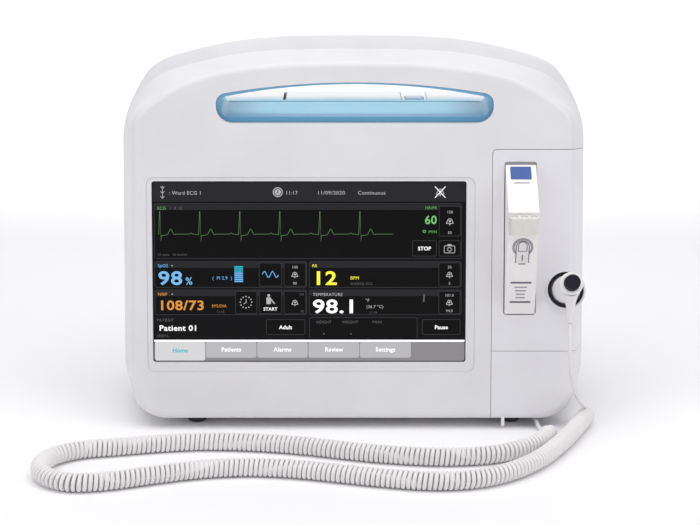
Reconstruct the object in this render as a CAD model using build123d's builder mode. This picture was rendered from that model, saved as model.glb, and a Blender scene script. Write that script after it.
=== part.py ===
from build123d import *
from math import cos, pi, radians, sin, tan
import os

# A portable vital-signs monitor. Millimetres and degrees. +X is to the right as the user faces the
# screen, +Y to the back and +Z up. The origin is on the table, below the middle of the object.

# ---- Driving dimensions ----
LEAN = 8.0                  # lean of the front face
UNDERSIDE = 6.5             # height of the flat underside above the table
FACE_BASE = 8.0             # height from which the front face's own coordinates count
FACE_FOOT = -49.0           # y of the front face at that height
PARTING_Y = 2.0             # joint between the front and rear housings
WIDEST_Y = 20.0             # the housing's largest section
BACK_Y = 75.0
ARCH_BACK = 27.0            # back of the carrying arch
DECK = 198.0                # top of the rear housing behind the arch
WALL = 2.6
EDGE_ROUND = 5.0
GAP = 0.3                   # shadow gap between neighbouring covers
RIM_GAP = 0.08              # the display rim fits closely in the housing
TAPER = 3.0                 # how much narrower each side is at the shoulder than at the foot
FIT = 0.3                   # clearance between fitted parts

FACE_HALF = 140.0
FACE_TOP = 223.3

GRIP_X = 0.8                # middle of the grip opening
GRIP_HALF = 86.3
GRIP_FLOOR = 191.7
GRIP_CEILING = 216.8
GRIP_END = 209.4
GRIP_CORNERS = (10.4, 6.8)  # radii of its lower and upper corners
LINER_SIDE = 2.2            # thickness of the light bar at the ends and at the top
LINER_TOP = 0.8
LINER_FLOOR = 2.6

RIM_CENTRE = (-26.75, 90.75)   # display rim, in the face's own coordinates
RIM_SIZE = (205.5, 122.5)
SCREEN_CENTRE = (-27.8, 92.6)
SCREEN_SIZE = (196.7, 114.0)

MODULE_X = 86.5             # left edge of the thermometry module
MODULE_TOP = 169.6
MODULE_CORNER = 3.0
MODULE_SPLIT = 42.5

SLOT_CENTRE = (104.15, 113.7)  # slot of the probe-cover carton
SLOT_SIZE = (20.3, 96.2)
CARTON_TILT = 15.0
CARTON = (18.8, 36.4, 57.5)    # width, depth, height of its front wall
CARTON_FOOT = (-39.8, 73.6)    # y and z of its lower front edge
COVER_NOTCH = 2.7              # how far back the carton's open corner reaches
LID_FOOT = 70.2                # height at which the sloping lid starts, behind that corner
LID_SLOPE = 26.0
COVER_RADIUS = 3.05
COVER_PITCH = 6.1
COVER_TOP = 68.8

PROBE_ELEVATION = 22.0
WELL_MOUTH = (133.0, -37.7, 88.5)
WELL_BORE = 6.0
WELL_LENGTH = 112.0
HANDLE_BORE = 9.0
SOCKET_X = 115.0            # the cord's socket in the underside
SOCKET_FRONT = -44.4
SOCKET_BACK = -2.6
PROBE_HEAD = 36.0           # from the well's mouth to the middle of the button

CORD = 2.5                  # wire of the curly cord
COIL = 11.5                 # outer diameter of its curls

# ---- Planes ----
FACE = Plane(
    origin=(0, FACE_FOOT, FACE_BASE),
    x_dir=(1, 0, 0),
    z_dir=(0, -cos(radians(LEAN)), sin(radians(LEAN))),
)
PROBE = Plane(
    origin=WELL_MOUTH,
    x_dir=(1, 0, 0),
    z_dir=(0, -cos(radians(PROBE_ELEVATION)), sin(radians(PROBE_ELEVATION))),
)
CARTON_FLOOR = Plane(
    origin=(SLOT_CENTRE[0], CARTON_FOOT[0], CARTON_FOOT[1]),
    x_dir=(1, 0, 0),
    z_dir=(0, -sin(radians(CARTON_TILT)), cos(radians(CARTON_TILT))),
)
CARTON_SIDE = Plane(origin=CARTON_FLOOR.origin, x_dir=CARTON_FLOOR.y_dir, z_dir=(1, 0, 0))


def upright(y):
    """A plane that faces the user, at depth y, with x to the right and z up."""
    return Plane(origin=(0, y, 0), x_dir=(1, 0, 0), z_dir=(0, -1, 0))


def rearward(y):
    """A plane that faces the back, at depth y. Its local x runs to the left."""
    return Plane(origin=(0, y, 0), x_dir=(-1, 0, 0), z_dir=(0, 1, 0))


# ---- Outlines that several pieces share ----
def housing_section(plane, half_width, bottom, top, corner, drop, inset=0.0):
    """A closed section: flat bottom, round corners, tapered sides and an arched crown.

    The crown ends at the shoulder, drop below the top."""
    foot, b, t, c = half_width - inset, bottom + inset, top - inset, corner - inset
    w = foot - TAPER
    rise = t - drop - b - c
    with BuildSketch(plane) as section:
        with BuildLine():
            crown = Spline(
                (0, t),
                (0.5 * w, t - 3.4),
                (0.74 * w, t - 11.2),
                (0.87 * w, t - 20),
                (0.94 * w, t - 14 - 0.3 * drop),
                (w, t - drop),
                tangents=((1, 0), (TAPER, -rise)),
            )
            side = Line(crown @ 1, (foot, b + c))
            TangentArc(side @ 1, (foot - c, b), tangent=(0, -1))
            Line((foot - c, b), (0, b))
            mirror(about=Plane.YZ)
        make_face()
    return section.sketch


def parting_section(inset):
    return housing_section(upright(PARTING_Y), 149.5, UNDERSIDE, 235.2, 25, 58, inset)


def front_sections(depth, inset):
    lower_edge = (UNDERSIDE - FACE_BASE) / cos(radians(LEAN))
    face = housing_section(FACE.offset(-depth), FACE_HALF, lower_edge, FACE_TOP, 23, 40, inset)
    return [face, parting_section(inset)]


def rear_sections(inset):
    widest = housing_section(upright(WIDEST_Y), 151, UNDERSIDE, 240.6, 26, 67, inset)
    back = housing_section(upright(BACK_Y - inset), 146, UNDERSIDE, 235, 28, 67, inset)
    return [parting_section(inset), widest, back]


def grip_profile(plane, margin=0.0):
    """The rounded grip opening, made larger all round by margin."""
    with BuildSketch(plane) as opening:
        with BuildLine():
            left, right = GRIP_X - GRIP_HALF, GRIP_X + GRIP_HALF
            Polyline((left, GRIP_END), (left, GRIP_FLOOR), (right, GRIP_FLOOR), (right, GRIP_END))
            ThreePointArc((right, GRIP_END), (GRIP_X, GRIP_CEILING), (left, GRIP_END))
        make_face()
        fillet(opening.vertices().group_by(Axis.Y)[0], GRIP_CORNERS[0])
        fillet(opening.vertices().group_by(Axis.Y)[-1], GRIP_CORNERS[1])
        if margin:
            offset(amount=margin)
    return opening.sketch


def face_plate(centre, size, corner, depth, thickness):
    """A plate parallel to the front face, with its front this far below the surface."""
    with BuildPart() as plate:
        with BuildSketch(FACE.offset(-depth)):
            with Locations(centre):
                RectangleRounded(size[0], size[1], corner)
        extrude(amount=-thickness)
    return plate.part


def block(low, high):
    """A plain box between two opposite corners."""
    with BuildPart() as box:
        middle = tuple((a + b) / 2 for a, b in zip(low, high))
        with Locations(middle):
            Box(*[b - a for a, b in zip(low, high)])
    return box.part


def module_zone(low_s, high_s, low_x, corner=0.0):
    """The part of space that a cover of the thermometry module takes from the front shell."""
    with BuildPart() as zone:
        with BuildSketch(FACE.offset(20)) as outline:
            with Locations(((low_x + 170) / 2, (low_s + high_s) / 2)):
                Rectangle(170 - low_x, high_s - low_s)
            if corner:
                fillet(outline.vertices().group_by(Axis.Y)[-1].sort_by(Axis.X)[0], corner)
        extrude(amount=-100)
    return zone.part


# ---- Housings ----
SCREW_PLACES = [(-53.5, 22), (78, 20), (-122, 178), (122, 178)]

with BuildPart() as front_solid:
    loft(sections=front_sections(0, 0), ruled=True)
    rim = front_solid.faces().sort_by(Axis(FACE.origin, FACE.z_dir))[-1]
    fillet(rim.edges(), EDGE_ROUND)

with BuildPart() as front_cavity:
    loft(sections=front_sections(WALL, WALL), ruled=True)
    extrude(grip_profile(upright(ARCH_BACK), WALL), amount=90, mode=Mode.SUBTRACT)
    with BuildSketch(upright(PARTING_Y)):
        with Locations(SCREW_PLACES):
            Circle(4.5)
    extrude(amount=60, mode=Mode.SUBTRACT)

with BuildPart() as front_shell:
    add(front_solid.part)
    add(front_cavity.part, mode=Mode.SUBTRACT)
    extrude(grip_profile(upright(ARCH_BACK)), amount=90, mode=Mode.SUBTRACT)
    with BuildSketch(upright(PARTING_Y)):
        with Locations(SCREW_PLACES):
            Circle(1.6)
    extrude(amount=14, mode=Mode.SUBTRACT)

with BuildPart() as front_housing:
    add(front_shell.part)
    add(module_zone(-40, MODULE_TOP, MODULE_X, MODULE_CORNER), mode=Mode.SUBTRACT)
    with BuildSketch(FACE.offset(1)):
        with Locations(RIM_CENTRE):
            RectangleRounded(RIM_SIZE[0], RIM_SIZE[1], 5)
    extrude(amount=-WALL - 2, mode=Mode.SUBTRACT)

with BuildPart() as probe_collar:
    with BuildSketch(PROBE.offset(-16)):
        Circle(HANDLE_BORE + 3.6)
    extrude(amount=16.8)

with BuildPart() as thermometer_cover:
    add(front_shell.part)
    add(probe_collar.part)
    upper_zone = module_zone(MODULE_SPLIT + GAP, MODULE_TOP - GAP, MODULE_X + GAP, MODULE_CORNER - GAP)
    add(upper_zone, mode=Mode.INTERSECT)
    with BuildSketch(FACE.offset(1)):
        with Locations(SLOT_CENTRE):
            RectangleRounded(SLOT_SIZE[0], SLOT_SIZE[1], 1.8)
    extrude(amount=-WALL - 2, mode=Mode.SUBTRACT)
    with BuildSketch(PROBE.offset(-60)):
        Circle(HANDLE_BORE + 2.25)
    extrude(amount=70, mode=Mode.SUBTRACT)

with BuildPart() as lower_panel:
    add(front_shell.part)
    add(module_zone(-40, MODULE_SPLIT, MODULE_X + GAP), mode=Mode.INTERSECT)
    with Locations((SOCKET_X, (SOCKET_FRONT + SOCKET_BACK) / 2, UNDERSIDE)):
        Box(16.4, SOCKET_BACK - SOCKET_FRONT + 0.4, 12, mode=Mode.SUBTRACT)
    with BuildSketch(FACE.offset(-1.2)):
        with Locations((MODULE_X + 8, -1.5)):
            Rectangle(1.8, 7.6)
    extrude(amount=-6)

# ---- Rear housing, its vents, bays and recesses ----
BAY_LOW = (-46.0, 33.0, 150.0)
BAY_HIGH = (48.0, 69.0, DECK)
BATTERY_DOOR = (108.0, 66.0)
BATTERY_DOOR_CENTRE = (6.0, 47.0)
PORTS = (78.0, 40.0)
PORTS_CENTRE = (-98.0, 38.0)
SIDE_LOW = (-152.0, 8.0, 74.0)
SIDE_HIGH = (-138.0, 44.0, 168.0)
FOOT_PLACES = [(x, y) for x in (-100.5, 100.5) for y in (-28, 52)]
FOOT_RADIUS = 6.0
INSERT_PLACES = [(x, y) for x in (-37.5, 37.5) for y in (10, 60)]
SPEAKER = (100.0, 50.0)

with BuildPart() as rear_solid:
    loft(sections=rear_sections(0))
    with BuildSketch(Plane.YZ):
        with Locations((ARCH_BACK + 50, DECK + 40)):
            Rectangle(100, 80)
    extrude(amount=200, both=True, mode=Mode.SUBTRACT)
    back_edges = rear_solid.faces().sort_by(Axis.Y)[-1].edges()
    deck_face = rear_solid.faces().filter_by(Plane.XY).sort_by(Axis.Z)[-1]
    deck_sides = [e for e in deck_face.edges() if ARCH_BACK + 1 < e.center().Y < BACK_Y - 1]
    fillet([*back_edges, *deck_sides], 8)
    upright_faces = rear_solid.faces().filter_by(Plane.XZ)
    arch_face = upright_faces.sort_by(lambda face: abs(face.center().Y - ARCH_BACK))[0]
    fillet([e for e in arch_face.edges() if e.center().Z > DECK + 1], 4)

with BuildPart() as rear_cavity:
    loft(sections=rear_sections(WALL))
    with BuildSketch(Plane.YZ):
        with Locations((ARCH_BACK + 50 - WALL, DECK + 40 - WALL)):
            Rectangle(100, 80)
    extrude(amount=200, both=True, mode=Mode.SUBTRACT)
    extrude(grip_profile(upright(ARCH_BACK), WALL), amount=60, mode=Mode.SUBTRACT)
    side_walls_low = [edge - 2 for edge in SIDE_LOW]
    side_walls_high = [edge + 2 for edge in SIDE_HIGH]
    add(block(side_walls_low, side_walls_high), mode=Mode.SUBTRACT)
    with BuildSketch(Plane.XY.offset(0)):
        with Locations(INSERT_PLACES):
            Circle(6)
    extrude(amount=14, mode=Mode.SUBTRACT)

with BuildPart() as rear_housing:
    add(rear_solid.part)
    add(rear_cavity.part, mode=Mode.SUBTRACT)
    extrude(grip_profile(upright(ARCH_BACK)), amount=60, mode=Mode.SUBTRACT)
    add(block(BAY_LOW, (BAY_HIGH[0], BAY_HIGH[1], DECK + 5)), mode=Mode.SUBTRACT)
    add(block(SIDE_LOW, SIDE_HIGH), mode=Mode.SUBTRACT)
    with BuildSketch(rearward(BACK_Y + 1)):
        with Locations((-BATTERY_DOOR_CENTRE[0], BATTERY_DOOR_CENTRE[1])):
            RectangleRounded(BATTERY_DOOR[0], BATTERY_DOOR[1], 4)
        with Locations((-PORTS_CENTRE[0], PORTS_CENTRE[1])):
            RectangleRounded(PORTS[0], PORTS[1], 3)
        with Locations((-SPEAKER[0], SPEAKER[1])):
            with GridLocations(0, 5, 1, 6):
                SlotOverall(30, 2.2)
        with Locations((0, 122)):
            with GridLocations(46, 6, 4, 6):
                SlotOverall(38, 2.6)
    extrude(amount=-WALL - 3, mode=Mode.SUBTRACT)
    with BuildSketch(rearward(BACK_Y + 1)):
        with Locations([(-x, z) for x, z in SCREW_PLACES]):
            Circle(4.2)
    extrude(amount=-2.2, mode=Mode.SUBTRACT)
    with BuildSketch(rearward(BACK_Y + 1)):
        with Locations([(-x, z) for x, z in SCREW_PLACES]):
            Circle(2.1)
    extrude(amount=-10, mode=Mode.SUBTRACT)
    with BuildSketch(Plane.XY.offset(UNDERSIDE - 1)):
        with Locations(INSERT_PLACES):
            Circle(3.2)
    extrude(amount=6.5, mode=Mode.SUBTRACT)

# ---- Grip light bar ----
def liner_opening(y, floor):
    """The hand's way through the light bar at depth y, with its floor at this height."""
    left = GRIP_X - GRIP_HALF + FIT + LINER_SIDE
    right = GRIP_X + GRIP_HALF - FIT - LINER_SIDE
    ceiling = GRIP_CEILING - FIT - LINER_TOP
    shoulder = GRIP_END - FIT - LINER_TOP - 0.9
    with BuildSketch(upright(y)) as opening:
        with BuildLine():
            Polyline((left, shoulder), (left, floor), (right, floor), (right, shoulder))
            ThreePointArc((right, shoulder), (GRIP_X, ceiling), (left, shoulder))
        make_face()
        fillet(opening.vertices(), 0.4 * (shoulder - floor))
    return opening.sketch


with BuildPart() as handle_light_bar:
    extrude(grip_profile(upright(ARCH_BACK - 0.2), -FIT), amount=46)
    loft(
        sections=[liner_opening(ARCH_BACK + 1, DECK - 0.3), liner_opening(-40, GRIP_FLOOR + LINER_FLOOR)],
        ruled=True,
        mode=Mode.SUBTRACT,
    )
    with BuildSketch(FACE.offset(-0.1)):
        with Locations((0, 200)):
            Rectangle(200, 60)
    extrude(amount=40, mode=Mode.SUBTRACT)

with BuildPart() as light_strip:
    with Locations((0, 8, GRIP_FLOOR - WALL - 4)):
        Box(150, 8, 1.2)
    with Locations((0, 8, GRIP_FLOOR - WALL - 3)):
        with GridLocations(14, 1, 11, 1):
            Box(3, 2.6, 1.2)

# ---- Display ----
with BuildPart() as display_bezel:
    with BuildSketch(FACE.offset(-0.35)):
        with Locations(RIM_CENTRE):
            RectangleRounded(RIM_SIZE[0] - 2 * RIM_GAP, RIM_SIZE[1] - 2 * RIM_GAP, 4.92)
        with Locations(SCREEN_CENTRE):
            RectangleRounded(SCREEN_SIZE[0], SCREEN_SIZE[1], 1.6, mode=Mode.SUBTRACT)
    extrude(amount=-1.3)
    with BuildSketch(FACE.offset(-1.65)):
        with Locations(RIM_CENTRE):
            RectangleRounded(RIM_SIZE[0] - 2 * RIM_GAP, RIM_SIZE[1] - 2 * RIM_GAP, 4.92)
            RectangleRounded(RIM_SIZE[0] - 3, RIM_SIZE[1] - 3, 3.5, mode=Mode.SUBTRACT)
    extrude(amount=-7)

GLASS_SIZE = (RIM_SIZE[0] - 4, RIM_SIZE[1] - 4)
touch_glass = face_plate(RIM_CENTRE, GLASS_SIZE, 2.5, 1.7, 1.8)

with BuildPart() as display_gasket:
    with BuildSketch(FACE.offset(-3.55)):
        with Locations(RIM_CENTRE):
            RectangleRounded(GLASS_SIZE[0], GLASS_SIZE[1], 2.5)
            RectangleRounded(GLASS_SIZE[0] - 6, GLASS_SIZE[1] - 6, 1.5, mode=Mode.SUBTRACT)
    extrude(amount=-1.2)

lcd_panel = face_plate(RIM_CENTRE, GLASS_SIZE, 2.5, 4.8, 5.2)

with BuildPart() as display_frame:
    add(face_plate(RIM_CENTRE, (214, 130), 3, 10.1, 1.2))
    with BuildSketch(FACE.offset(-10.1)):
        with Locations(RIM_CENTRE):
            with GridLocations(60, 46, 3, 2):
                RectangleRounded(44, 30, 4)
    extrude(amount=-1.2, mode=Mode.SUBTRACT)
    with BuildSketch(FACE.offset(-11.3)):
        with Locations(RIM_CENTRE):
            with GridLocations(0, 126, 1, 2):
                Rectangle(190, 1.5)
    extrude(amount=-5)

with BuildPart() as standoffs:
    with BuildSketch(FACE.offset(-11.4)):
        with Locations(RIM_CENTRE):
            with GridLocations(170, 88, 2, 2):
                Circle(3)
    extrude(amount=-5.5)
    with BuildSketch(FACE.offset(-18.7)):
        with Locations(RIM_CENTRE):
            with GridLocations(170, 88, 2, 2):
                Circle(3)
    extrude(amount=-7.2)

with BuildPart() as main_board:
    add(face_plate(RIM_CENTRE, (184, 104), 2, 17.0, 1.6))
    with BuildSketch(FACE.offset(-18.6)):
        with Locations((-60, 100)):
            Rectangle(28, 28)
        with Locations((-10, 110)):
            with GridLocations(18, 20, 3, 2):
                Rectangle(12, 9)
        with Locations((-60, 60)):
            with GridLocations(26, 8, 3, 2):
                Rectangle(20, 5)
    extrude(amount=-2.6)

with BuildPart() as chassis_plate:
    add(face_plate(RIM_CENTRE, (186, 128), 3, 26.0, 1.5))
    with BuildSketch(FACE.offset(-26)):
        with Locations(RIM_CENTRE):
            with GridLocations(40, 50, 4, 2):
                SlotOverall(28, 12)
    extrude(amount=-1.5, mode=Mode.SUBTRACT)

# ---- Power ----
with BuildPart() as power_supply:
    add(block((-134, 26, 18), (-62, 56, 64)))
    with BuildSketch(Plane.XY.offset(64)):
        with Locations((-98, 41)):
            with GridLocations(12, 1, 5, 1):
                Rectangle(6, 22)
    extrude(amount=-1, mode=Mode.SUBTRACT)

with BuildPart() as power_inlet:
    add(block((-132, 60.5, 24), (-104, BACK_Y - 1.6, 46)))
    with BuildSketch(rearward(BACK_Y - 1.6)):
        with Locations((118, 35)):
            RectangleRounded(23, 16, 3)
    extrude(amount=-10, mode=Mode.SUBTRACT)
    with BuildSketch(rearward(62.5)):
        with Locations([(118, 38), (112, 33), (124, 33)]):
            Rectangle(1.6, 4)
    extrude(amount=8)

with BuildPart() as port_panel:
    with BuildSketch(rearward(BACK_Y - 1.6)):
        with Locations((-PORTS_CENTRE[0], PORTS_CENTRE[1])):
            RectangleRounded(PORTS[0] - 2 * FIT, PORTS[1] - 2 * FIT, 2.7)
        with Locations((118, 35)):
            Rectangle(28.4, 22.4, mode=Mode.SUBTRACT)
        with Locations([(93, 47), (77, 47)]):
            Rectangle(13.8, 6.4, mode=Mode.SUBTRACT)
        with Locations((89, 31)):
            Rectangle(16.4, 14.4, mode=Mode.SUBTRACT)
        with Locations((69, 31)):
            Circle(4.2, mode=Mode.SUBTRACT)
    extrude(amount=-2)

with BuildPart() as usb_ports:
    for x in (-93, -77):
        add(block((x - 6.7, 62, 44), (x + 6.7, BACK_Y - 1.4, 50)))
    with BuildSketch(rearward(BACK_Y - 1.4)):
        with Locations([(93, 47), (77, 47)]):
            Rectangle(12.2, 4.8)
            with Locations((0, 1.2)):
                Rectangle(11, 1.8, mode=Mode.SUBTRACT)
    extrude(amount=-9, mode=Mode.SUBTRACT)

with BuildPart() as network_port:
    add(block((-97, 60.5, 24), (-81, BACK_Y - 1.4, 38)))
    with BuildSketch(rearward(BACK_Y - 1.4)):
        with Locations((89, 32)):
            Rectangle(12, 8)
        with Locations((89, 27)):
            Rectangle(6, 4)
    extrude(amount=-11, mode=Mode.SUBTRACT)

POWER_BUTTON = (-69.0, 31.0)
with BuildPart() as power_button:
    with BuildSketch(rearward(BACK_Y - 6)):
        with Locations((-POWER_BUTTON[0], POWER_BUTTON[1])):
            Circle(3.9)
    extrude(amount=4.8)
    fillet(power_button.faces().sort_by(Axis.Y)[-1].edges(), 0.6)
    with BuildSketch(rearward(BACK_Y - 7.2)):
        with Locations((-POWER_BUTTON[0], POWER_BUTTON[1])):
            Circle(5.2)
    extrude(amount=1.2)

with BuildPart() as battery_pack:
    add(block((-38, 34, 18), (50, 66, 76)))
    fillet(battery_pack.edges().filter_by(Axis.X), 4)

with BuildPart() as battery_cover:
    with BuildSketch(rearward(BACK_Y - WALL)):
        with Locations((-BATTERY_DOOR_CENTRE[0], BATTERY_DOOR_CENTRE[1])):
            RectangleRounded(BATTERY_DOOR[0] - 2 * FIT, BATTERY_DOOR[1] - 2 * FIT, 3.7)
    extrude(amount=WALL - 0.1)
    fillet(battery_cover.faces().sort_by(Axis.Y)[-1].edges(), 0.8)
    with BuildSketch(rearward(BACK_Y)):
        with Locations((-BATTERY_DOOR_CENTRE[0], 72)):
            Circle(2.2)
    extrude(amount=-6, mode=Mode.SUBTRACT)
    with BuildSketch(rearward(BACK_Y)):
        with Locations((-BATTERY_DOOR_CENTRE[0], 24)):
            with GridLocations(6, 1, 5, 1):
                SlotOverall(14, 1.6, rotation=90)
    extrude(amount=-0.9, mode=Mode.SUBTRACT)

with BuildPart() as battery_screw:
    with BuildSketch(rearward(BACK_Y - 8)):
        with Locations((-BATTERY_DOOR_CENTRE[0], 72)):
            Circle(1.9)
    extrude(amount=7.6)
    with BuildSketch(rearward(BACK_Y - 0.4)):
        with Locations((-BATTERY_DOOR_CENTRE[0], 72)):
            Rectangle(3, 0.7)
    extrude(amount=-0.8, mode=Mode.SUBTRACT)

with BuildPart() as speaker:
    with BuildSketch(rearward(BACK_Y - WALL - 0.3)):
        with Locations((-SPEAKER[0], SPEAKER[1])):
            Circle(19)
            Circle(15, mode=Mode.SUBTRACT)
    extrude(amount=-3)
    with BuildSketch(rearward(BACK_Y - WALL - 3.3)):
        with Locations((-SPEAKER[0], SPEAKER[1])):
            Circle(18)
    extrude(amount=-10, taper=18)
    with BuildSketch(rearward(BACK_Y - WALL - 13.3)):
        with Locations((-SPEAKER[0], SPEAKER[1])):
            Circle(12)
    extrude(amount=-7)

# ---- Blood pressure, oximetry and ECG ----
with BuildPart() as cuff_pump:
    with BuildSketch(upright(14)):
        with Locations((-106, 100)):
            Circle(13)
    extrude(amount=-38)
    with BuildSketch(upright(52)):
        with Locations((-106, 100)):
            RectangleRounded(28, 28, 4)
    extrude(amount=-12)

with BuildPart() as air_manifold:
    add(block((-124, 14, 122), (-70, 40, 136)))
    with BuildSketch(rearward(40)):
        with Locations([(84, 129), (96, 129)]):
            Circle(2.4)
            Circle(1.2, mode=Mode.SUBTRACT)
    extrude(amount=7)

with BuildPart() as air_valves:
    with BuildSketch(Plane.XY.offset(136.1)):
        with Locations([(-112, 27), (-90, 27)]):
            Circle(7)
    extrude(amount=18)

with BuildPart() as oximeter_board:
    add(block((-60, 40, 96), (-4, 41.6, 146)))
    with BuildSketch(rearward(41.6)):
        with Locations((32, 121)):
            with GridLocations(18, 18, 2, 2):
                Rectangle(10, 10)
    extrude(amount=2.2)

with BuildPart() as side_port_plate:
    plate_low = (SIDE_HIGH[0] - 3, SIDE_LOW[1] + FIT, SIDE_LOW[2] + FIT)
    plate_high = (SIDE_HIGH[0] - 0.2, SIDE_HIGH[1] - FIT, SIDE_HIGH[2] - FIT)
    add(block(plate_low, plate_high))
    with BuildSketch(Plane.YZ.offset(SIDE_HIGH[0] - 4)):
        with Locations([(26, 95), (26, 124)]):
            Circle(7.1)
        with Locations((26, 151)):
            Rectangle(20.2, 12.2)
    extrude(amount=6, mode=Mode.SUBTRACT)

PORT_ROOT = SIDE_HIGH[0] - 0.2
with BuildPart() as cuff_port:
    with BuildSketch(Plane.YZ.offset(PORT_ROOT)):
        with Locations((26, 95)):
            Circle(6.8)
    extrude(amount=-4.5)
    with BuildSketch(Plane.YZ.offset(PORT_ROOT - 4.5)):
        with Locations((26, 95)):
            Circle(4.2)
    extrude(amount=-6.5)
    with BuildSketch(Plane.YZ.offset(PORT_ROOT - 11)):
        with Locations((26, 95)):
            Circle(2.4)
    extrude(amount=9, mode=Mode.SUBTRACT)

with BuildPart() as ecg_socket:
    with BuildSketch(Plane.YZ.offset(PORT_ROOT)):
        with Locations((26, 124)):
            Circle(6.8)
    extrude(amount=-6.5)
    with BuildSketch(Plane.YZ.offset(PORT_ROOT - 6.5)):
        with Locations((26, 124)):
            Circle(5.2)
    extrude(amount=4.5, mode=Mode.SUBTRACT)
    with BuildSketch(Plane.YZ.offset(PORT_ROOT - 2)):
        with Locations((26, 124)):
            with PolarLocations(2.8, 6):
                Circle(0.5)
    extrude(amount=-3.5)

with BuildPart() as oximeter_socket:
    add(block((PORT_ROOT - 5.5, 16.2, 145.2), (PORT_ROOT, 35.8, 156.8)))
    with BuildSketch(Plane.YZ.offset(PORT_ROOT - 5.5)):
        with Locations((26, 151)):
            Rectangle(16, 8)
    extrude(amount=4, mode=Mode.SUBTRACT)
    with BuildSketch(Plane.YZ.offset(PORT_ROOT - 1.5)):
        with Locations((26, 151)):
            Rectangle(12, 1.6)
    extrude(amount=-3)

# ---- Thermometry module ----
with BuildPart() as carton_holder:
    with BuildSketch(CARTON_FLOOR.offset(-1.6)):
        with Locations((0, CARTON[1] / 2)):
            Rectangle(CARTON[0] + 4, CARTON[1] + 8)
    extrude(amount=110)
    with BuildSketch(CARTON_FLOOR.offset(-0.15)):
        with Locations((0, CARTON[1] / 2)):
            Rectangle(CARTON[0] + 2 * FIT, CARTON[1] + 2 * FIT)
    extrude(amount=112, mode=Mode.SUBTRACT)
    with BuildSketch(CARTON_FLOOR.offset(-5)):
        with Locations((0, -4)):
            Rectangle(CARTON[0] + 2 * FIT, 14)
    extrude(amount=120, mode=Mode.SUBTRACT)
    add(module_zone(MODULE_SPLIT + 2, MODULE_TOP - 4, 60), mode=Mode.INTERSECT)
    with BuildSketch(FACE.offset(-WALL - 0.2)):
        with Locations(SLOT_CENTRE):
            Rectangle(60, 140)
    extrude(amount=60, mode=Mode.SUBTRACT)

with BuildPart() as probe_well:
    with BuildSketch(PROBE.offset(-WELL_LENGTH)):
        Circle(WELL_BORE + 1.5)
    extrude(amount=WELL_LENGTH - 8)
    with BuildSketch(PROBE.offset(-26)):
        Circle(HANDLE_BORE + 1.8)
    extrude(amount=26)
    with BuildSketch(PROBE.offset(-WELL_LENGTH + 2)):
        Circle(WELL_BORE)
    extrude(amount=WELL_LENGTH, mode=Mode.SUBTRACT)
    with BuildSketch(PROBE.offset(-22)):
        Circle(HANDLE_BORE)
    extrude(amount=30, mode=Mode.SUBTRACT)

with BuildPart() as probe_well_ring:
    with BuildSketch(PROBE.offset(0.1)):
        Circle(HANDLE_BORE + 2.1)
        Circle(HANDLE_BORE + 0.3, mode=Mode.SUBTRACT)
    extrude(amount=2.0)
    fillet(probe_well_ring.faces().sort_by(Axis(WELL_MOUTH, PROBE.z_dir))[-1].edges(), 0.7)

with BuildPart() as thermometry_board:
    add(block((88, 8, 14), (116, 9.6, 58)))
    with BuildSketch(rearward(9.6)):
        with Locations((-102, 36)):
            with GridLocations(12, 16, 2, 2):
                Rectangle(8, 8)
    extrude(amount=2)

with BuildPart() as cord_socket:
    add(block((SOCKET_X - 8, SOCKET_FRONT, UNDERSIDE + 1), (SOCKET_X + 8, SOCKET_BACK, 21)))
    add(block((SOCKET_X - 6.6, SOCKET_FRONT + 1.6, 0), (SOCKET_X + 6.6, -6, 19.4)), mode=Mode.SUBTRACT)
    with BuildSketch(upright(-6)):
        with Locations((SOCKET_X, 13)):
            Rectangle(8.4, 6.4)
    extrude(amount=-2.6, mode=Mode.SUBTRACT)

# ---- Thermometer probe ----
with BuildPart() as probe_handle:
    with BuildSketch(Plane(origin=WELL_MOUTH, x_dir=(1, 0, 0), z_dir=PROBE.y_dir)) as half:
        with BuildLine():
            Polyline((0, 20), (0, -PROBE_HEAD + 3), (6.2, -PROBE_HEAD + 3), (7.2, -PROBE_HEAD + 6))
            Line((7.2, -PROBE_HEAD + 6), (7.4, -PROBE_HEAD + 14))
            Spline((7.4, -PROBE_HEAD + 14), (8.3, -8), (8.65, 2), tangents=((0, 1), (0, 1)))
            Polyline((8.65, 2), (8.65, 18), (6.6, 20), (0, 20))
        make_face()
    revolve(axis=Axis(WELL_MOUTH, PROBE.z_dir))
    with BuildSketch(PROBE.offset(PROBE_HEAD - 16)):
        Circle(5.0)
    extrude(amount=20, mode=Mode.SUBTRACT)
    with BuildSketch(PROBE.offset(-20)):
        Circle(2.2)
    extrude(amount=12, mode=Mode.SUBTRACT)

with BuildPart() as probe_shaft:
    with BuildSketch(PROBE.offset(-100)):
        Circle(2.15)
    extrude(amount=88)

with BuildPart() as probe_tip:
    with BuildSketch(PROBE.offset(-108)):
        Circle(1.9)
    extrude(amount=8)
    fillet(probe_tip.faces().sort_by(Axis(WELL_MOUTH, PROBE.z_dir))[0].edges(), 1.4)

with BuildPart() as eject_button:
    with BuildSketch(PROBE.offset(PROBE_HEAD - 8)):
        Circle(4.7)
    extrude(amount=12)
    fillet(eject_button.faces().sort_by(Axis(WELL_MOUTH, PROBE.z_dir))[-1].edges(), 1.2)

with BuildPart() as eject_spring:
    with BuildSketch(PROBE.offset(PROBE_HEAD - 15.8)):
        Circle(3.6)
        Circle(2.6, mode=Mode.SUBTRACT)
    extrude(amount=7.6)

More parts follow.
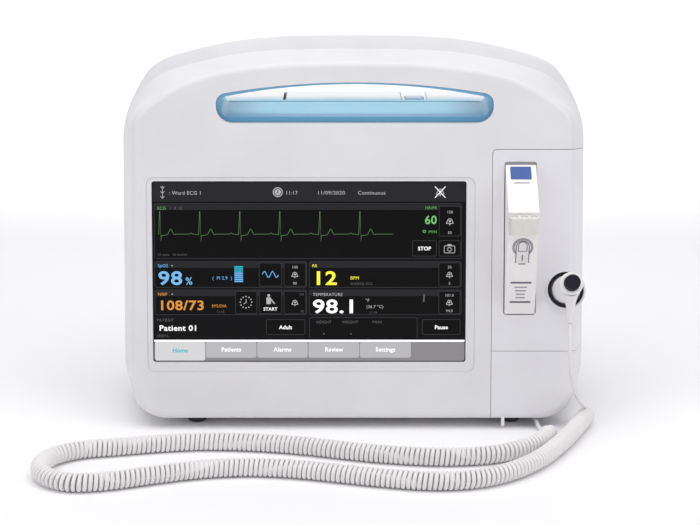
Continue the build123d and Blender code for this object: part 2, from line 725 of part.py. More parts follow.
HEAD_Y = WELL_MOUTH[1] - (PROBE_HEAD - 7) * cos(radians(PROBE_ELEVATION))
HEAD_Z = WELL_MOUTH[2] + (PROBE_HEAD - 7) * sin(radians(PROBE_ELEVATION))
RELIEF_END = 75.0
with BuildPart() as strain_relief:
    with BuildSketch(Plane.XY.offset(RELIEF_END)) as relief_end:
        with Locations((WELL_MOUTH[0], HEAD_Y)):
            Circle(1.5)
    with BuildSketch(Plane.XY.offset(HEAD_Z - 4)) as relief_root:
        with Locations((WELL_MOUTH[0], HEAD_Y)):
            Circle(5.4)
    with BuildSketch(Plane.XY.offset(RELIEF_END + 10)) as relief_middle:
        with Locations((WELL_MOUTH[0], HEAD_Y)):
            Circle(2.7)
    loft(sections=[relief_end.sketch, relief_middle.sketch, relief_root.sketch])
    with BuildSketch(PROBE.offset(PROBE_HEAD - 40)):
        Circle(7.5)
    extrude(amount=60, mode=Mode.SUBTRACT)

# ---- Carton of probe covers ----
with BuildPart() as carton:
    with BuildSketch(CARTON_SIDE):
        with BuildLine():
            lid_top = LID_FOOT + (CARTON[1] - COVER_NOTCH) * tan(radians(LID_SLOPE))
            Polyline(
                (0, 0),
                (0, CARTON[2]),
                (COVER_NOTCH, CARTON[2]),
                (COVER_NOTCH, LID_FOOT),
                (CARTON[1], lid_top),
                (CARTON[1], 0),
                close=True,
            )
        make_face()
    extrude(amount=CARTON[0] / 2, both=True)
    fillet(carton.edges().filter_by(Axis.X).filter_by(lambda e: e.center().Y > CARTON_FOOT[0] + 4), 0.5)

with BuildPart() as probe_covers:
    with BuildSketch(CARTON_FLOOR.offset(CARTON[2] + 0.1)):
        with Locations((0, COVER_NOTCH - 0.15 - COVER_RADIUS)):
            with GridLocations(COVER_PITCH, 0, 3, 1):
                Circle(COVER_RADIUS)
            Rectangle(2 * COVER_PITCH, 2 * COVER_RADIUS - 0.8)
    extrude(amount=COVER_TOP - CARTON[2] - 0.1)
    with BuildSketch(CARTON_FLOOR.offset(COVER_TOP)):
        with Locations((0, COVER_NOTCH - 0.15 - COVER_RADIUS)):
            with GridLocations(COVER_PITCH, 0, 3, 1):
                Circle(COVER_RADIUS - 0.75)
    extrude(amount=-0.8, mode=Mode.SUBTRACT)

# ---- Printer under the deck ----
BAY_WALL = 1.6
HINGE_Y = 66.0
HINGE_Z = DECK - 2.6
DOOR_LEFT = -44.0
DOOR_RIGHT = 31.0
with BuildPart() as printer_bay:
    bay_low = (BAY_LOW[0] + FIT, BAY_LOW[1] + FIT, BAY_LOW[2])
    bay_high = (BAY_HIGH[0] - FIT, BAY_HIGH[1] - FIT, DECK - 6)
    hollow_low = (BAY_LOW[0] + 2, BAY_LOW[1] + 2, BAY_LOW[2] + BAY_WALL)
    hollow_high = (BAY_HIGH[0] - 2, BAY_HIGH[1] - 2, DECK)
    lug_low = (BAY_LOW[0] + FIT, HINGE_Y - 4, DECK - 6)
    lug_high = (DOOR_LEFT - FIT, BAY_HIGH[1] - FIT, DECK - 0.2)
    add(block(bay_low, bay_high))
    add(block(hollow_low, hollow_high), mode=Mode.SUBTRACT)
    add(block(lug_low, lug_high))
    with BuildSketch(Plane.YZ.offset(BAY_LOW[0])):
        with Locations((HINGE_Y, HINGE_Z)):
            Circle(1.2)
    extrude(amount=3, mode=Mode.SUBTRACT)

with BuildPart() as paper_roll:
    with BuildSketch(Plane.YZ.offset(-35)):
        with Locations((52.5, 168.5)):
            Circle(14)
            Circle(4, mode=Mode.SUBTRACT)
    extrude(amount=57)

with BuildPart() as roll_spindle:
    with BuildSketch(Plane.YZ.offset(BAY_LOW[0] + 2)):
        with Locations((52.5, 168.5)):
            Circle(3.9)
    extrude(amount=BAY_HIGH[0] - BAY_LOW[0] - 4)

with BuildPart() as print_head:
    add(block((-38, 35.2, 182), (26, 41, 188)))
    with BuildSketch(Plane.XY.offset(188)):
        with Locations((-6, 38)):
            Rectangle(56, 2)
    extrude(amount=1.4)

with BuildPart() as printer_door:
    add(block((DOOR_LEFT, BAY_LOW[1] + 0.6, DECK - 2.0), (DOOR_RIGHT, HINGE_Y, DECK)))
    fillet(printer_door.edges().filter_by(Axis.Z), 1.2)
    with BuildSketch(Plane.YZ.offset(DOOR_LEFT + 2)):
        with Locations((HINGE_Y, HINGE_Z)):
            Circle(2.6)
    extrude(amount=DOOR_RIGHT - DOOR_LEFT - 4)
    with BuildSketch(Plane.YZ.offset(DOOR_LEFT)):
        with Locations((HINGE_Y, HINGE_Z)):
            Circle(1.25)
    extrude(amount=DOOR_RIGHT - DOOR_LEFT, mode=Mode.SUBTRACT)

with BuildPart() as door_pin:
    with BuildSketch(Plane.YZ.offset(BAY_LOW[0] + FIT)):
        with Locations((HINGE_Y, HINGE_Z)):
            Circle(1.2)
    extrude(amount=DOOR_RIGHT - BAY_LOW[0] + 2)

with BuildPart() as bay_trim:
    trim_low = (DOOR_RIGHT + 0.5, BAY_LOW[1] + FIT, DECK - 5.6)
    trim_high = (BAY_HIGH[0] - FIT, BAY_HIGH[1] - FIT, DECK - 0.2)
    latch_hole_low = (DOOR_RIGHT + 2.5, BAY_LOW[1] + 2, DECK - 8)
    latch_hole_high = (BAY_HIGH[0] - 2, BAY_LOW[1] + 16, DECK + 1)
    add(block(trim_low, trim_high))
    add(block(latch_hole_low, latch_hole_high), mode=Mode.SUBTRACT)
    with BuildSketch(Plane.YZ.offset(DOOR_RIGHT)):
        with Locations((HINGE_Y, HINGE_Z)):
            Circle(1.2)
    extrude(amount=3, mode=Mode.SUBTRACT)

with BuildPart() as door_latch:
    latch_low = (DOOR_RIGHT + 2.9, BAY_LOW[1] + 2.4, DECK - 5)
    latch_high = (BAY_HIGH[0] - 2.4, BAY_LOW[1] + 15.6, DECK + 0.4)
    add(block(latch_low, latch_high))
    fillet(door_latch.faces().sort_by(Axis.Z)[-1].edges(), 0.8)

# ---- Fasteners and feet ----
with BuildPart() as feet:
    with BuildSketch(Plane.XY):
        with Locations(FOOT_PLACES):
            Circle(FOOT_RADIUS)
    extrude(amount=UNDERSIDE)
    fillet(feet.faces().group_by(Axis.Z)[0].edges(), 1.0)

with BuildPart() as housing_screws:
    with BuildSketch(rearward(BACK_Y - 1.15)):
        with Locations([(-x, z) for x, z in SCREW_PLACES]):
            Circle(3.6)
    extrude(amount=0.9)
    with BuildSketch(rearward(BACK_Y - 1.15)):
        with Locations([(-x, z) for x, z in SCREW_PLACES]):
            Circle(1.4)
    extrude(amount=-82)
    with BuildSketch(rearward(BACK_Y)):
        with Locations([(-x, z) for x, z in SCREW_PLACES]):
            RegularPolygon(1.4, 6)
    extrude(amount=-1.0, mode=Mode.SUBTRACT)

with BuildPart() as mounting_inserts:
    with BuildSketch(Plane.XY.offset(UNDERSIDE)):
        with Locations(INSERT_PLACES):
            Circle(3.2)
            Circle(2.1, mode=Mode.SUBTRACT)
    extrude(amount=5.4)

# ---- Curly cord ----
LEAD_ROUTE = [
    (133.0, HEAD_Y, RELIEF_END),
    (133.2, HEAD_Y - 0.6, 54),
    (136.0, HEAD_Y + 6, 34),
    (141.5, HEAD_Y + 14, 20),
    (147.0, HEAD_Y + 25, 12),
]
COIL_ROUTE = [
    (149, -36), (139, -62), (127, -89), (111, -119), (91, -141), (70, -153), (45, -155.5), (20, -150.5),
    (-6, -143), (-33, -134.5), (-61, -131), (-90, -134.5), (-118, -145), (-144, -156), (-167, -158.5),
    (-184.5, -142), (-184.5, -117), (-167, -101), (-146, -97), (-122, -90.5), (-94, -86), (-63, -87.5),
    (-32, -93.5), (-2, -104), (27.7, -111.8), (57.5, -115), (86, -110.5), (106, -96.5), (117, -83), (121, -71),
]
TAIL_ROUTE = [
    (121, -70, 1.3), (119.6, -60.5, 1.35), (117.4, -50.5, 1.6), (115.7, -40.8, 4.3), (115, -30.8, 10.4),
    (115, -21, 12.7),
]


def round_path(points):
    """Straight runs joined by tangent arcs as large as the runs allow."""
    radii = []
    for before, here, after in zip(points, points[1:], points[2:]):
        first, second = Vector(here) - Vector(before), Vector(after) - Vector(here)
        turn = radians(first.get_angle(second))
        radii.append(0.45 * min(first.length, second.length) / tan(turn / 2))
    print("smallest radius", round(min(radii), 1))
    with BuildLine() as line:
        FilletPolyline(*points, radius=radii)
    return line.wire()


def cord_tube(points, diameter):
    """A round cord along a route."""
    path = round_path(points)
    with BuildPart() as tube:
        with BuildSketch(Plane(origin=path @ 0, z_dir=path % 0)):
            Circle(diameter / 2)
        sweep(path=path)
    whole = pi * diameter ** 2 / 4 * path.length
    print("length", round(path.length, 1), "volume over section times length", round(tube.part.volume / whole, 3))
    return tube.part


probe_cord_lead = cord_tube(LEAD_ROUTE, CORD)
probe_cord_coil = cord_tube([(x, y, COIL / 2) for x, y in COIL_ROUTE], COIL)
probe_cord_tail = cord_tube(TAIL_ROUTE, CORD)

with BuildPart() as cord_plug:
    add(block((SOCKET_X - 4.4, -17.6, 9.2), (SOCKET_X + 4.4, -6.1, 16.4)))
    fillet(cord_plug.edges().filter_by(Axis.Y), 1)
    with BuildSketch(upright(-17.6)):
        with Locations((SOCKET_X, 12.7)):
            Circle(2.4)
    extrude(amount=3.4, taper=12)
    with BuildSketch(upright(-6.1)):
        with Locations((SOCKET_X, 13)):
            Rectangle(8, 6)
    extrude(amount=-2.3)

# ---- Hand over every piece under its own name ----
pieces = {
    "front_housing": front_housing.part,
    "rear_housing": rear_housing.part,
    "handle_light_bar": handle_light_bar.part,
    "light_strip": light_strip.part,
    "display_bezel": display_bezel.part,
    "touch_glass": touch_glass,
    "display_gasket": display_gasket.part,
    "lcd_panel": lcd_panel,
    "display_frame": display_frame.part,
    "standoffs": standoffs.part,
    "main_board": main_board.part,
    "chassis_plate": chassis_plate.part,
    "power_supply": power_supply.part,
    "power_inlet": power_inlet.part,
    "port_panel": port_panel.part,
    "usb_ports": usb_ports.part,
    "network_port": network_port.part,
    "power_button": power_button.part,
    "battery_pack": battery_pack.part,
    "battery_cover": battery_cover.part,
    "battery_screw": battery_screw.part,
    "speaker": speaker.part,
    "cuff_pump": cuff_pump.part,
    "air_manifold": air_manifold.part,
    "air_valves": air_valves.part,
    "oximeter_board": oximeter_board.part,
    "side_port_plate": side_port_plate.part,
    "cuff_port": cuff_port.part,
    "ecg_socket": ecg_socket.part,
    "oximeter_socket": oximeter_socket.part,
    "thermometer_cover": thermometer_cover.part,
    "lower_panel": lower_panel.part,
    "carton_holder": carton_holder.part,
    "probe_well": probe_well.part,
    "probe_well_ring": probe_well_ring.part,
    "thermometry_board": thermometry_board.part,
    "cord_socket": cord_socket.part,
    "probe_handle": probe_handle.part,
    "probe_shaft": probe_shaft.part,
    "probe_tip": probe_tip.part,
    "eject_button": eject_button.part,
    "eject_spring": eject_spring.part,
    "strain_relief": strain_relief.part,
    "carton": carton.part,
    "probe_covers": probe_covers.part,
    "printer_bay": printer_bay.part,
    "paper_roll": paper_roll.part,
    "roll_spindle": roll_spindle.part,
    "print_head": print_head.part,
    "printer_door": printer_door.part,
    "door_pin": door_pin.part,
    "bay_trim": bay_trim.part,
    "door_latch": door_latch.part,
    "feet": feet.part,
    "housing_screws": housing_screws.part,
    "mounting_inserts": mounting_inserts.part,
    "probe_cord_lead": probe_cord_lead,
    "probe_cord_coil": probe_cord_coil,
    "probe_cord_tail": probe_cord_tail,
    "cord_plug": cord_plug.part,
}

os.makedirs("parts", exist_ok=True)
for name, piece in pieces.items():
    piece.label = name
    export_step(piece, f"parts/{name}.step")
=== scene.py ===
"""Looks of a portable vital-signs monitor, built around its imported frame. All sizes are in metres."""
import math

import bmesh
import bpy
from mathutils import Matrix, Vector


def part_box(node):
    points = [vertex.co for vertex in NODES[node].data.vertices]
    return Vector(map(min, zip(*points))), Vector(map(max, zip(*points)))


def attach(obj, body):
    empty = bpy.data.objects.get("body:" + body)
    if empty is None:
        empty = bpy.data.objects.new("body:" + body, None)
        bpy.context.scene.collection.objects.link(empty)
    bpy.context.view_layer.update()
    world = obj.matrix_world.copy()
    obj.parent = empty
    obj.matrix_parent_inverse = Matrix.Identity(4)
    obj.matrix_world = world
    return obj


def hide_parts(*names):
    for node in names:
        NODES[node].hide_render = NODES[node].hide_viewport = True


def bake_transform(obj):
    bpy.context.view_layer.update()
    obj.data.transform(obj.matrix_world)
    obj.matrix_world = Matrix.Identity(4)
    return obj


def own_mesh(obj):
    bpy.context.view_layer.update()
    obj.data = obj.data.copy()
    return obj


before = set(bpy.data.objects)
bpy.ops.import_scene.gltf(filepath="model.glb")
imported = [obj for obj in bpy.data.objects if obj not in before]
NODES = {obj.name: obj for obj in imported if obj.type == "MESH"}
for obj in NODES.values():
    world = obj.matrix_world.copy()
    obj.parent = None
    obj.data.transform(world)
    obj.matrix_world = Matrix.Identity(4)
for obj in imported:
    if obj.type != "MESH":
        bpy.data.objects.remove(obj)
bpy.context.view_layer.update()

MM = 0.001

# ---- The frame's own places ----
LEAN = math.radians(8)
FACE_UP = Vector((0, math.sin(LEAN), math.cos(LEAN)))
FACE_OUT = Vector((0, -math.cos(LEAN), math.sin(LEAN)))
PROBE_RISE = math.radians(22)
WELL_MOUTH = Vector((0.133, -0.0377, 0.0885))
CARTON_TILT = math.radians(15)
CARTON_UP = Vector((0, -math.sin(CARTON_TILT), math.cos(CARTON_TILT)))
CARTON_OUT = Vector((0, -math.cos(CARTON_TILT), -math.sin(CARTON_TILT)))


# ---- Materials ----
def new_material(name, colour, roughness, metallic=0.0, coat=0.0):
    """A new material and its Principled shader."""
    material = bpy.data.materials.new(name)
    material.use_nodes = True
    shader = material.node_tree.nodes["Principled BSDF"]
    shader.inputs["Base Color"].default_value = (*colour, 1)
    shader.inputs["Roughness"].default_value = roughness
    shader.inputs["Metallic"].default_value = metallic
    shader.inputs["Coat Weight"].default_value = coat
    return material, shader


def object_noise(tree, scale, detail=3.0):
    """A noise texture in the object's own coordinates."""
    place = tree.nodes.new("ShaderNodeTexCoord")
    noise = tree.nodes.new("ShaderNodeTexNoise")
    noise.inputs["Scale"].default_value = scale
    noise.inputs["Detail"].default_value = detail
    tree.links.new(place.outputs["Object"], noise.inputs["Vector"])
    return noise


def vary(tree, socket, noise, low, high):
    """Drives a shader socket between two values or colours with a noise."""
    ramp = tree.nodes.new("ShaderNodeValToRGB")
    ramp.color_ramp.elements[0].position = 0.3
    ramp.color_ramp.elements[1].position = 0.7
    for element, value in zip(ramp.color_ramp.elements, (low, high)):
        element.color = (*value, 1) if isinstance(value, tuple) else (value, value, value, 1)
    tree.links.new(noise.outputs["Fac"], ramp.inputs["Fac"])
    tree.links.new(ramp.outputs["Color"], socket)


def add_bump(tree, shader, noise, strength, distance):
    """Raises and lowers the shaded surface with a noise."""
    bump = tree.nodes.new("ShaderNodeBump")
    bump.inputs["Strength"].default_value = strength
    bump.inputs["Distance"].default_value = distance
    tree.links.new(noise.outputs["Fac"], bump.inputs["Height"])
    tree.links.new(bump.outputs["Normal"], shader.inputs["Normal"])


def shade(colour, factor):
    """A colour made lighter or darker, kept within white."""
    return tuple(min(1.0, channel * factor) for channel in colour)


def moulded(name, colour, roughness=0.42, grain=2600.0, relief=0.08, coat=0.0, mottle=0.03):
    """Moulded plastic: a fine spark-eroded grain, a little mottling and uneven gloss."""
    material, shader = new_material(name, colour, roughness, coat=coat)
    tree = material.node_tree
    broad = object_noise(tree, 28.0, 4.0)
    vary(tree, shader.inputs["Base Color"], broad, shade(colour, 1 - mottle), shade(colour, 1 + mottle))
    handled = object_noise(tree, 60.0, 6.0)
    vary(tree, shader.inputs["Roughness"], handled, roughness - 0.06, roughness + 0.06)
    add_bump(tree, shader, object_noise(tree, grain, 2.0), relief, 0.0002)
    return material


def metal(name, colour, roughness=0.3, brushed=900.0):
    """Plated or machined metal with fine directional scratches."""
    material, shader = new_material(name, colour, roughness, metallic=1.0)
    tree = material.node_tree
    scratches = object_noise(tree, brushed, 6.0)
    stretch = tree.nodes.new("ShaderNodeMapping")
    stretch.inputs["Scale"].default_value = (0.06, 1.0, 1.0)
    place = tree.nodes.new("ShaderNodeTexCoord")
    tree.links.new(place.outputs["Object"], stretch.inputs["Vector"])
    tree.links.new(stretch.outputs["Vector"], scratches.inputs["Vector"])
    vary(tree, shader.inputs["Roughness"], scratches, roughness - 0.1, roughness + 0.15)
    add_bump(tree, shader, scratches, 0.15, 0.0001)
    return material


def circuit_board(name):
    """Green solder mask with copper traces under it."""
    material, shader = new_material(name, (0.01, 0.12, 0.05), 0.35)
    tree = material.node_tree
    place = tree.nodes.new("ShaderNodeTexCoord")
    bricks = tree.nodes.new("ShaderNodeTexBrick")
    bricks.inputs["Scale"].default_value = 160.0
    bricks.inputs["Mortar Size"].default_value = 0.03
    bricks.inputs["Color1"].default_value = (0.008, 0.10, 0.04, 1)
    bricks.inputs["Color2"].default_value = (0.012, 0.14, 0.06, 1)
    bricks.inputs["Mortar"].default_value = (0.05, 0.24, 0.08, 1)
    tree.links.new(place.outputs["Object"], bricks.inputs["Vector"])
    tree.links.new(bricks.outputs["Color"], shader.inputs["Base Color"])
    return material


def between(tree, value, low, high, to_low=0.0, to_high=1.0):
    """A node that maps a value from one range to another, clamped at both ends."""
    span = tree.nodes.new("ShaderNodeMapRange")
    for key, number in (("From Min", low), ("From Max", high), ("To Min", to_low), ("To Max", to_high)):
        span.inputs[key].default_value = number
    tree.links.new(value, span.inputs["Value"])
    return span.outputs["Result"]


def arithmetic(tree, operation, first, second=None):
    """A sum, product or other operation on one or two sockets."""
    node = tree.nodes.new("ShaderNodeMath")
    node.operation = operation
    tree.links.new(first, node.inputs[0])
    if second is not None:
        tree.links.new(second, node.inputs[1])
    return node.outputs["Value"]


def object_axes(tree):
    """The object's own x, y and z, as three sockets, with x measured either side of the middle."""
    place = tree.nodes.new("ShaderNodeTexCoord")
    split = tree.nodes.new("ShaderNodeSeparateXYZ")
    tree.links.new(place.outputs["Object"], split.inputs["Vector"])
    return arithmetic(tree, "ABSOLUTE", split.outputs["X"]), split.outputs["Y"], split.outputs["Z"]


def mix_colours(tree, share, first, second):
    """first where share is 0 and second where it's 1. Either may be a socket or a colour."""
    mix = tree.nodes.new("ShaderNodeMix")
    mix.data_type = "RGBA"
    tree.links.new(share, mix.inputs["Factor"])
    for slot, colour in ((6, first), (7, second)):
        if isinstance(colour, tuple):
            mix.inputs[slot].default_value = (*colour, 1)
        else:
            tree.links.new(colour, mix.inputs[slot])
    return mix.outputs[2]


def light_guide(name):
    """Blue translucent plastic: painted shade makes it deep at the front edge and the ends, and painted
    light makes it pale towards the back, where light comes through.
    """
    material, shader = new_material(name, GUIDE_FLOOR, 0.35)
    tree = material.node_tree
    low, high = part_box("handle_light_bar")
    across, deep, up = object_axes(tree)
    # Painted shade at the front edge, painted light towards the back.
    ramp = tree.nodes.new("ShaderNodeValToRGB")
    stops = ramp.color_ramp.elements
    stops[0].position, stops[0].color = 0.02, (*GUIDE_LIP_SHADE, 1)
    stops[1].position, stops[1].color = 1.0, (*GUIDE_BACK_LIT, 1)
    for position, colour in ((0.17, GUIDE_LIP_SHADE), (0.28, GUIDE_FLOOR), (0.75, GUIDE_FLOOR)):
        stops.new(position).color = (*colour, 1)
    tree.links.new(between(tree, deep, low.y, high.y), ramp.inputs["Fac"])

    # Painted shade: the floor darkens towards its ends.
    near_end = between(tree, across, *END_SHADE_SPAN)
    on_floor = between(tree, up, low.z + GUIDE_FLOOR_TOP, low.z + GUIDE_FLOOR_FULL)
    end_shade = arithmetic(tree, "MULTIPLY", near_end, on_floor)
    darker = mix_colours(tree, end_shade, ramp.outputs["Color"], GUIDE_END_SHADE)
    wall = between(tree, up, low.z + GUIDE_FLOOR_TOP, low.z + GUIDE_WALL_FULL)
    tree.links.new(mix_colours(tree, wall, darker, GUIDE_WALL), shader.inputs["Base Color"])

    lit_depth = between(tree, deep, low.y + GUIDE_LIT_DEPTH[0], low.y + GUIDE_LIT_DEPTH[1])
    lit_across = between(tree, across, *GUIDE_LIT_ACROSS, 0.35, 1.0)
    lit = arithmetic(tree, "MULTIPLY", lit_depth, lit_across)
    tree.links.new(mix_colours(tree, lit, GUIDE_LIP_LIGHT, GUIDE_LIGHT), shader.inputs["Emission Color"])
    shader.inputs["Emission Strength"].default_value = 1.0
    shader.inputs["Specular IOR Level"].default_value = 0.25
    shader.inputs["Subsurface Weight"].default_value = 0.15
    shader.inputs["Subsurface Radius"].default_value = (0.002, 0.004, 0.006)
    shader.inputs["Subsurface Scale"].default_value = 1.0
    return material


# The colour at the front edge is painted shade, and the paler colour at the back is painted light.
GUIDE_LIP_SHADE = (0.130, 0.320, 0.480)
GUIDE_FLOOR = (0.215, 0.480, 0.670)
GUIDE_BACK_LIT = (0.300, 0.560, 0.720)
# The floor's colour at its ends is painted shade.
GUIDE_END_SHADE = (0.100, 0.270, 0.430)
GUIDE_WALL = (0.200, 0.440, 0.660)
GUIDE_LIGHT = (0.125, 0.235, 0.235)
GUIDE_LIP_LIGHT = (0.010, 0.030, 0.045)
END_SHADE_SPAN = (0.055, 0.080)      # from the middle, where painted shade darkens the floor towards its ends
GUIDE_FLOOR_TOP = 0.0085             # above the guide's lowest point
GUIDE_FLOOR_FULL = 0.0055
GUIDE_WALL_FULL = 0.0140
GUIDE_LIT_DEPTH = (0.003, 0.016)     # behind the guide's front edge
GUIDE_LIT_ACROSS = (0.086, 0.060)


def add_glow(material, bright, colour):
    """Brightens and tints the top of the housing behind the grip, where the light guide shines on it."""
    tree = material.node_tree
    shader = tree.nodes["Principled BSDF"]
    plain = shader.inputs["Base Color"].links[0].from_socket
    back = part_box("handle_light_bar")[1].y
    across, deep, up = object_axes(tree)
    deck = arithmetic(tree, "MULTIPLY", between(tree, up, *DECK_HEIGHTS), between(tree, across, *DECK_HALF))
    deck = arithmetic(tree, "MULTIPLY", deck, between(tree, deep, *DECK_DEPTHS))
    near = arithmetic(tree, "MULTIPLY", between(tree, deep, back + GLOW_REACH, back),
                      between(tree, across, *GLOW_HALF))
    whitened = mix_colours(tree, deck, plain, bright)
    tinted = mix_colours(tree, arithmetic(tree, "MULTIPLY", near, deck), whitened, colour)
    tree.links.new(tinted, shader.inputs["Base Color"])
    return material


GLOW_REACH = 0.022
GLOW_HALF = (0.092, 0.074)           # each pair: where the effect ends, and where it is full
DECK_HEIGHTS = (0.216, 0.208)
DECK_HALF = (0.115, 0.085)
DECK_DEPTHS = (0.080, 0.060)


def glowing(name, colour, strength):
    """A lit colour on the display, with a faint unevenness of the panel's pixels."""
    material, shader = new_material(name, shade(colour, 0.25), 0.3)
    tree = material.node_tree
    pixels = object_noise(tree, 1800.0, 1.0)
    vary(tree, shader.inputs["Emission Color"], pixels, shade(colour, 0.93), shade(colour, 1.0))
    shader.inputs["Emission Strength"].default_value = strength
    shader.inputs["Specular IOR Level"].default_value = 0.1
    return material


def display_glass(name):
    """Black touch glass, glossy, with a trace of wiped smears."""
    material, shader = new_material(name, (0.010, 0.010, 0.012), 0.12, coat=0.5)
    tree = material.node_tree
    smears = object_noise(tree, 35.0, 5.0)
    vary(tree, shader.inputs["Roughness"], smears, 0.10, 0.2)
    add_bump(tree, shader, object_noise(tree, 9.0, 1.0), 0.02, 0.0002)
    return material


WHITE = moulded("housing_white", (0.765, 0.760, 0.785), 0.42)
TOP_WHITE = add_glow(moulded("housing_white_top", (0.680, 0.675, 0.700), 0.42),
                     (0.84, 0.845, 0.86), (0.42, 0.70, 0.82))
MODULE_WHITE = moulded("module_white", (0.790, 0.785, 0.820), 0.40)
RIM = moulded("rim_grey", (0.755, 0.750, 0.775), 0.36, mottle=0.02)
GREY = moulded("grey_plastic", (0.33, 0.35, 0.38), 0.5)
DARK = moulded("dark_plastic", (0.03, 0.03, 0.035), 0.5, relief=0.15)
RUBBER = moulded("rubber_dark", (0.045, 0.042, 0.05), 0.75, grain=1500.0, relief=0.3)
NAVY = moulded("navy", (0.011, 0.010, 0.020), 0.6)
NAVY.node_tree.nodes["Principled BSDF"].inputs["Specular IOR Level"].default_value = 0.2
PROBE_WHITE = moulded("probe_white", (0.90, 0.90, 0.91), 0.33)
CARD = moulded("card", (0.90, 0.875, 0.875), 0.6, grain=700.0, relief=0.06, mottle=0.015)
CREAM = moulded("cover_cream", (0.74, 0.73, 0.68), 0.45)
PAPER = moulded("paper", (0.88, 0.88, 0.86), 0.85, grain=1200.0, relief=0.2)
JACKET = moulded("cord_white", (0.82, 0.805, 0.805), 0.5, grain=900.0, relief=0.12)
LATCH = moulded("latch_blue", (0.47, 0.555, 0.70), 0.4)
STEEL = metal("steel", (0.62, 0.63, 0.64))
SHEET = metal("sheet_metal", (0.66, 0.67, 0.67), 0.38)
BRASS = metal("brass", (0.70, 0.50, 0.22), 0.28)
BOARD = circuit_board("circuit_board")
BLUE = light_guide("light_blue")
GLASS = display_glass("screen_glass")

NODE_MATERIALS = {
    WHITE: ("front_housing", "battery_cover"),
    TOP_WHITE: ("rear_housing", "printer_door", "bay_trim"),
    MODULE_WHITE: ("thermometer_cover", "lower_panel", "carton_holder", "probe_well"),
    RIM: ("display_bezel",),
    GREY: ("port_panel", "network_port", "power_button", "air_manifold", "side_port_plate",
           "cord_socket", "printer_bay", "roll_spindle", "cord_plug"),
    DARK: ("power_inlet", "battery_pack", "speaker", "air_valves", "ecg_socket", "oximeter_socket",
           "print_head", "lcd_panel"),
    RUBBER: ("feet", "display_gasket"),
    NAVY: ("probe_well_ring", "eject_button"),
    PROBE_WHITE: ("probe_handle", "probe_shaft"),
    CARD: ("carton",),
    CREAM: ("probe_covers",),
    PAPER: ("paper_roll",),
    JACKET: ("strain_relief",),
    LATCH: ("door_latch",),
    STEEL: ("usb_ports", "battery_screw", "cuff_pump", "cuff_port", "probe_tip", "eject_spring", "door_pin",
            "housing_screws"),
    SHEET: ("display_frame", "chassis_plate", "power_supply"),
    BRASS: ("standoffs", "mounting_inserts"),
    BOARD: ("main_board", "light_strip", "oximeter_board", "thermometry_board"),
    BLUE: ("handle_light_bar",),
    GLASS: ("touch_glass",),
}


def paint_nodes():
    """Gives each carried-over node its material."""
    for material, names in NODE_MATERIALS.items():
        for name in names:
            node = NODES[name]
            node.data.materials.clear()
            node.data.materials.append(material)


# ---- Mesh helpers ----
def rounded_corners(x0, y0, x1, y1, radius, steps=5):
    """The outline of a rectangle with round corners, anticlockwise."""
    points = []
    radius = min(radius, (x1 - x0) / 2 - 1e-6, (y1 - y0) / 2 - 1e-6)
    for cx, cy, start in ((x1 - radius, y0 + radius, -90), (x1 - radius, y1 - radius, 0),
                          (x0 + radius, y1 - radius, 90), (x0 + radius, y0 + radius, 180)):
        for step in range(steps + 1):
            angle = math.radians(start + 90 * step / steps)
            points.append((cx + radius * math.cos(angle), cy + radius * math.sin(angle)))
    return points


def add_prism(form, outline, plane, bottom, top):
    """A closed prism: an outline in a plane's two directions, between two heights above it."""
    origin, right, up, out = plane
    rings = []
    for height in (bottom, top):
        rings.append([form.verts.new(origin + right * x + up * y + out * height) for x, y in outline])
    form.faces.new(rings[1])
    form.faces.new(list(reversed(rings[0])))
    count = len(outline)
    for i in range(count):
        j = (i + 1) % count
        form.faces.new((rings[0][i], rings[0][j], rings[1][j], rings[1][i]))


def add_line(form, points, width, plane, bottom, top):
    """A closed strip of even width along a polyline, in a plane, with mitred corners."""
    origin, right, up, out = plane
    path = [Vector(point) for point in points]
    rings = []
    for i, point in enumerate(path):
        before = (point - path[i - 1]).normalized() if i else None
        after = (path[i + 1] - point).normalized() if i + 1 < len(path) else None
        along = ((before or after) + (after or before)).normalized()
        across = Vector((-along.y, along.x))
        first = after or before
        reach = width / 2 / max(abs(across.dot(Vector((-first.y, first.x)))), MITRE_LIMIT)
        ring = []
        for side, height in ((1, bottom), (1, top), (-1, top), (-1, bottom)):
            corner = point + across * reach * side
            ring.append(form.verts.new(origin + right * corner.x + up * corner.y + out * height))
        rings.append(ring)
    for a, b in zip(rings, rings[1:]):
        for i in range(4):
            j = (i + 1) % 4
            form.faces.new((a[i], a[j], b[j], b[i]))
    form.faces.new(rings[0])
    form.faces.new(rings[-1][::-1])


MITRE_LIMIT = 0.35                   # keeps sharp corners from growing into long spikes


# ---- Display picture ----
SCREEN_SIZE = (0.1967, 0.1140)
SCREEN_LEFT = -0.12615
SCREEN_TOP_S = 0.1496                # up the leaning face, from its foot
GLASS_DEPTH = 0.0017                 # of the glass behind the face
FACE_FOOT = Vector((0, -0.049, 0.008))
SCREEN_TOP_LEFT = FACE_FOOT + FACE_UP * SCREEN_TOP_S - FACE_OUT * GLASS_DEPTH + Vector((SCREEN_LEFT, 0, 0))
SCREEN = (SCREEN_TOP_LEFT, Vector((1, 0, 0)), -FACE_UP, FACE_OUT)
LAYER = 0.00004                      # step in height from one drawn layer to the next
INK = 0.6                            # thickness of what is drawn, in layers

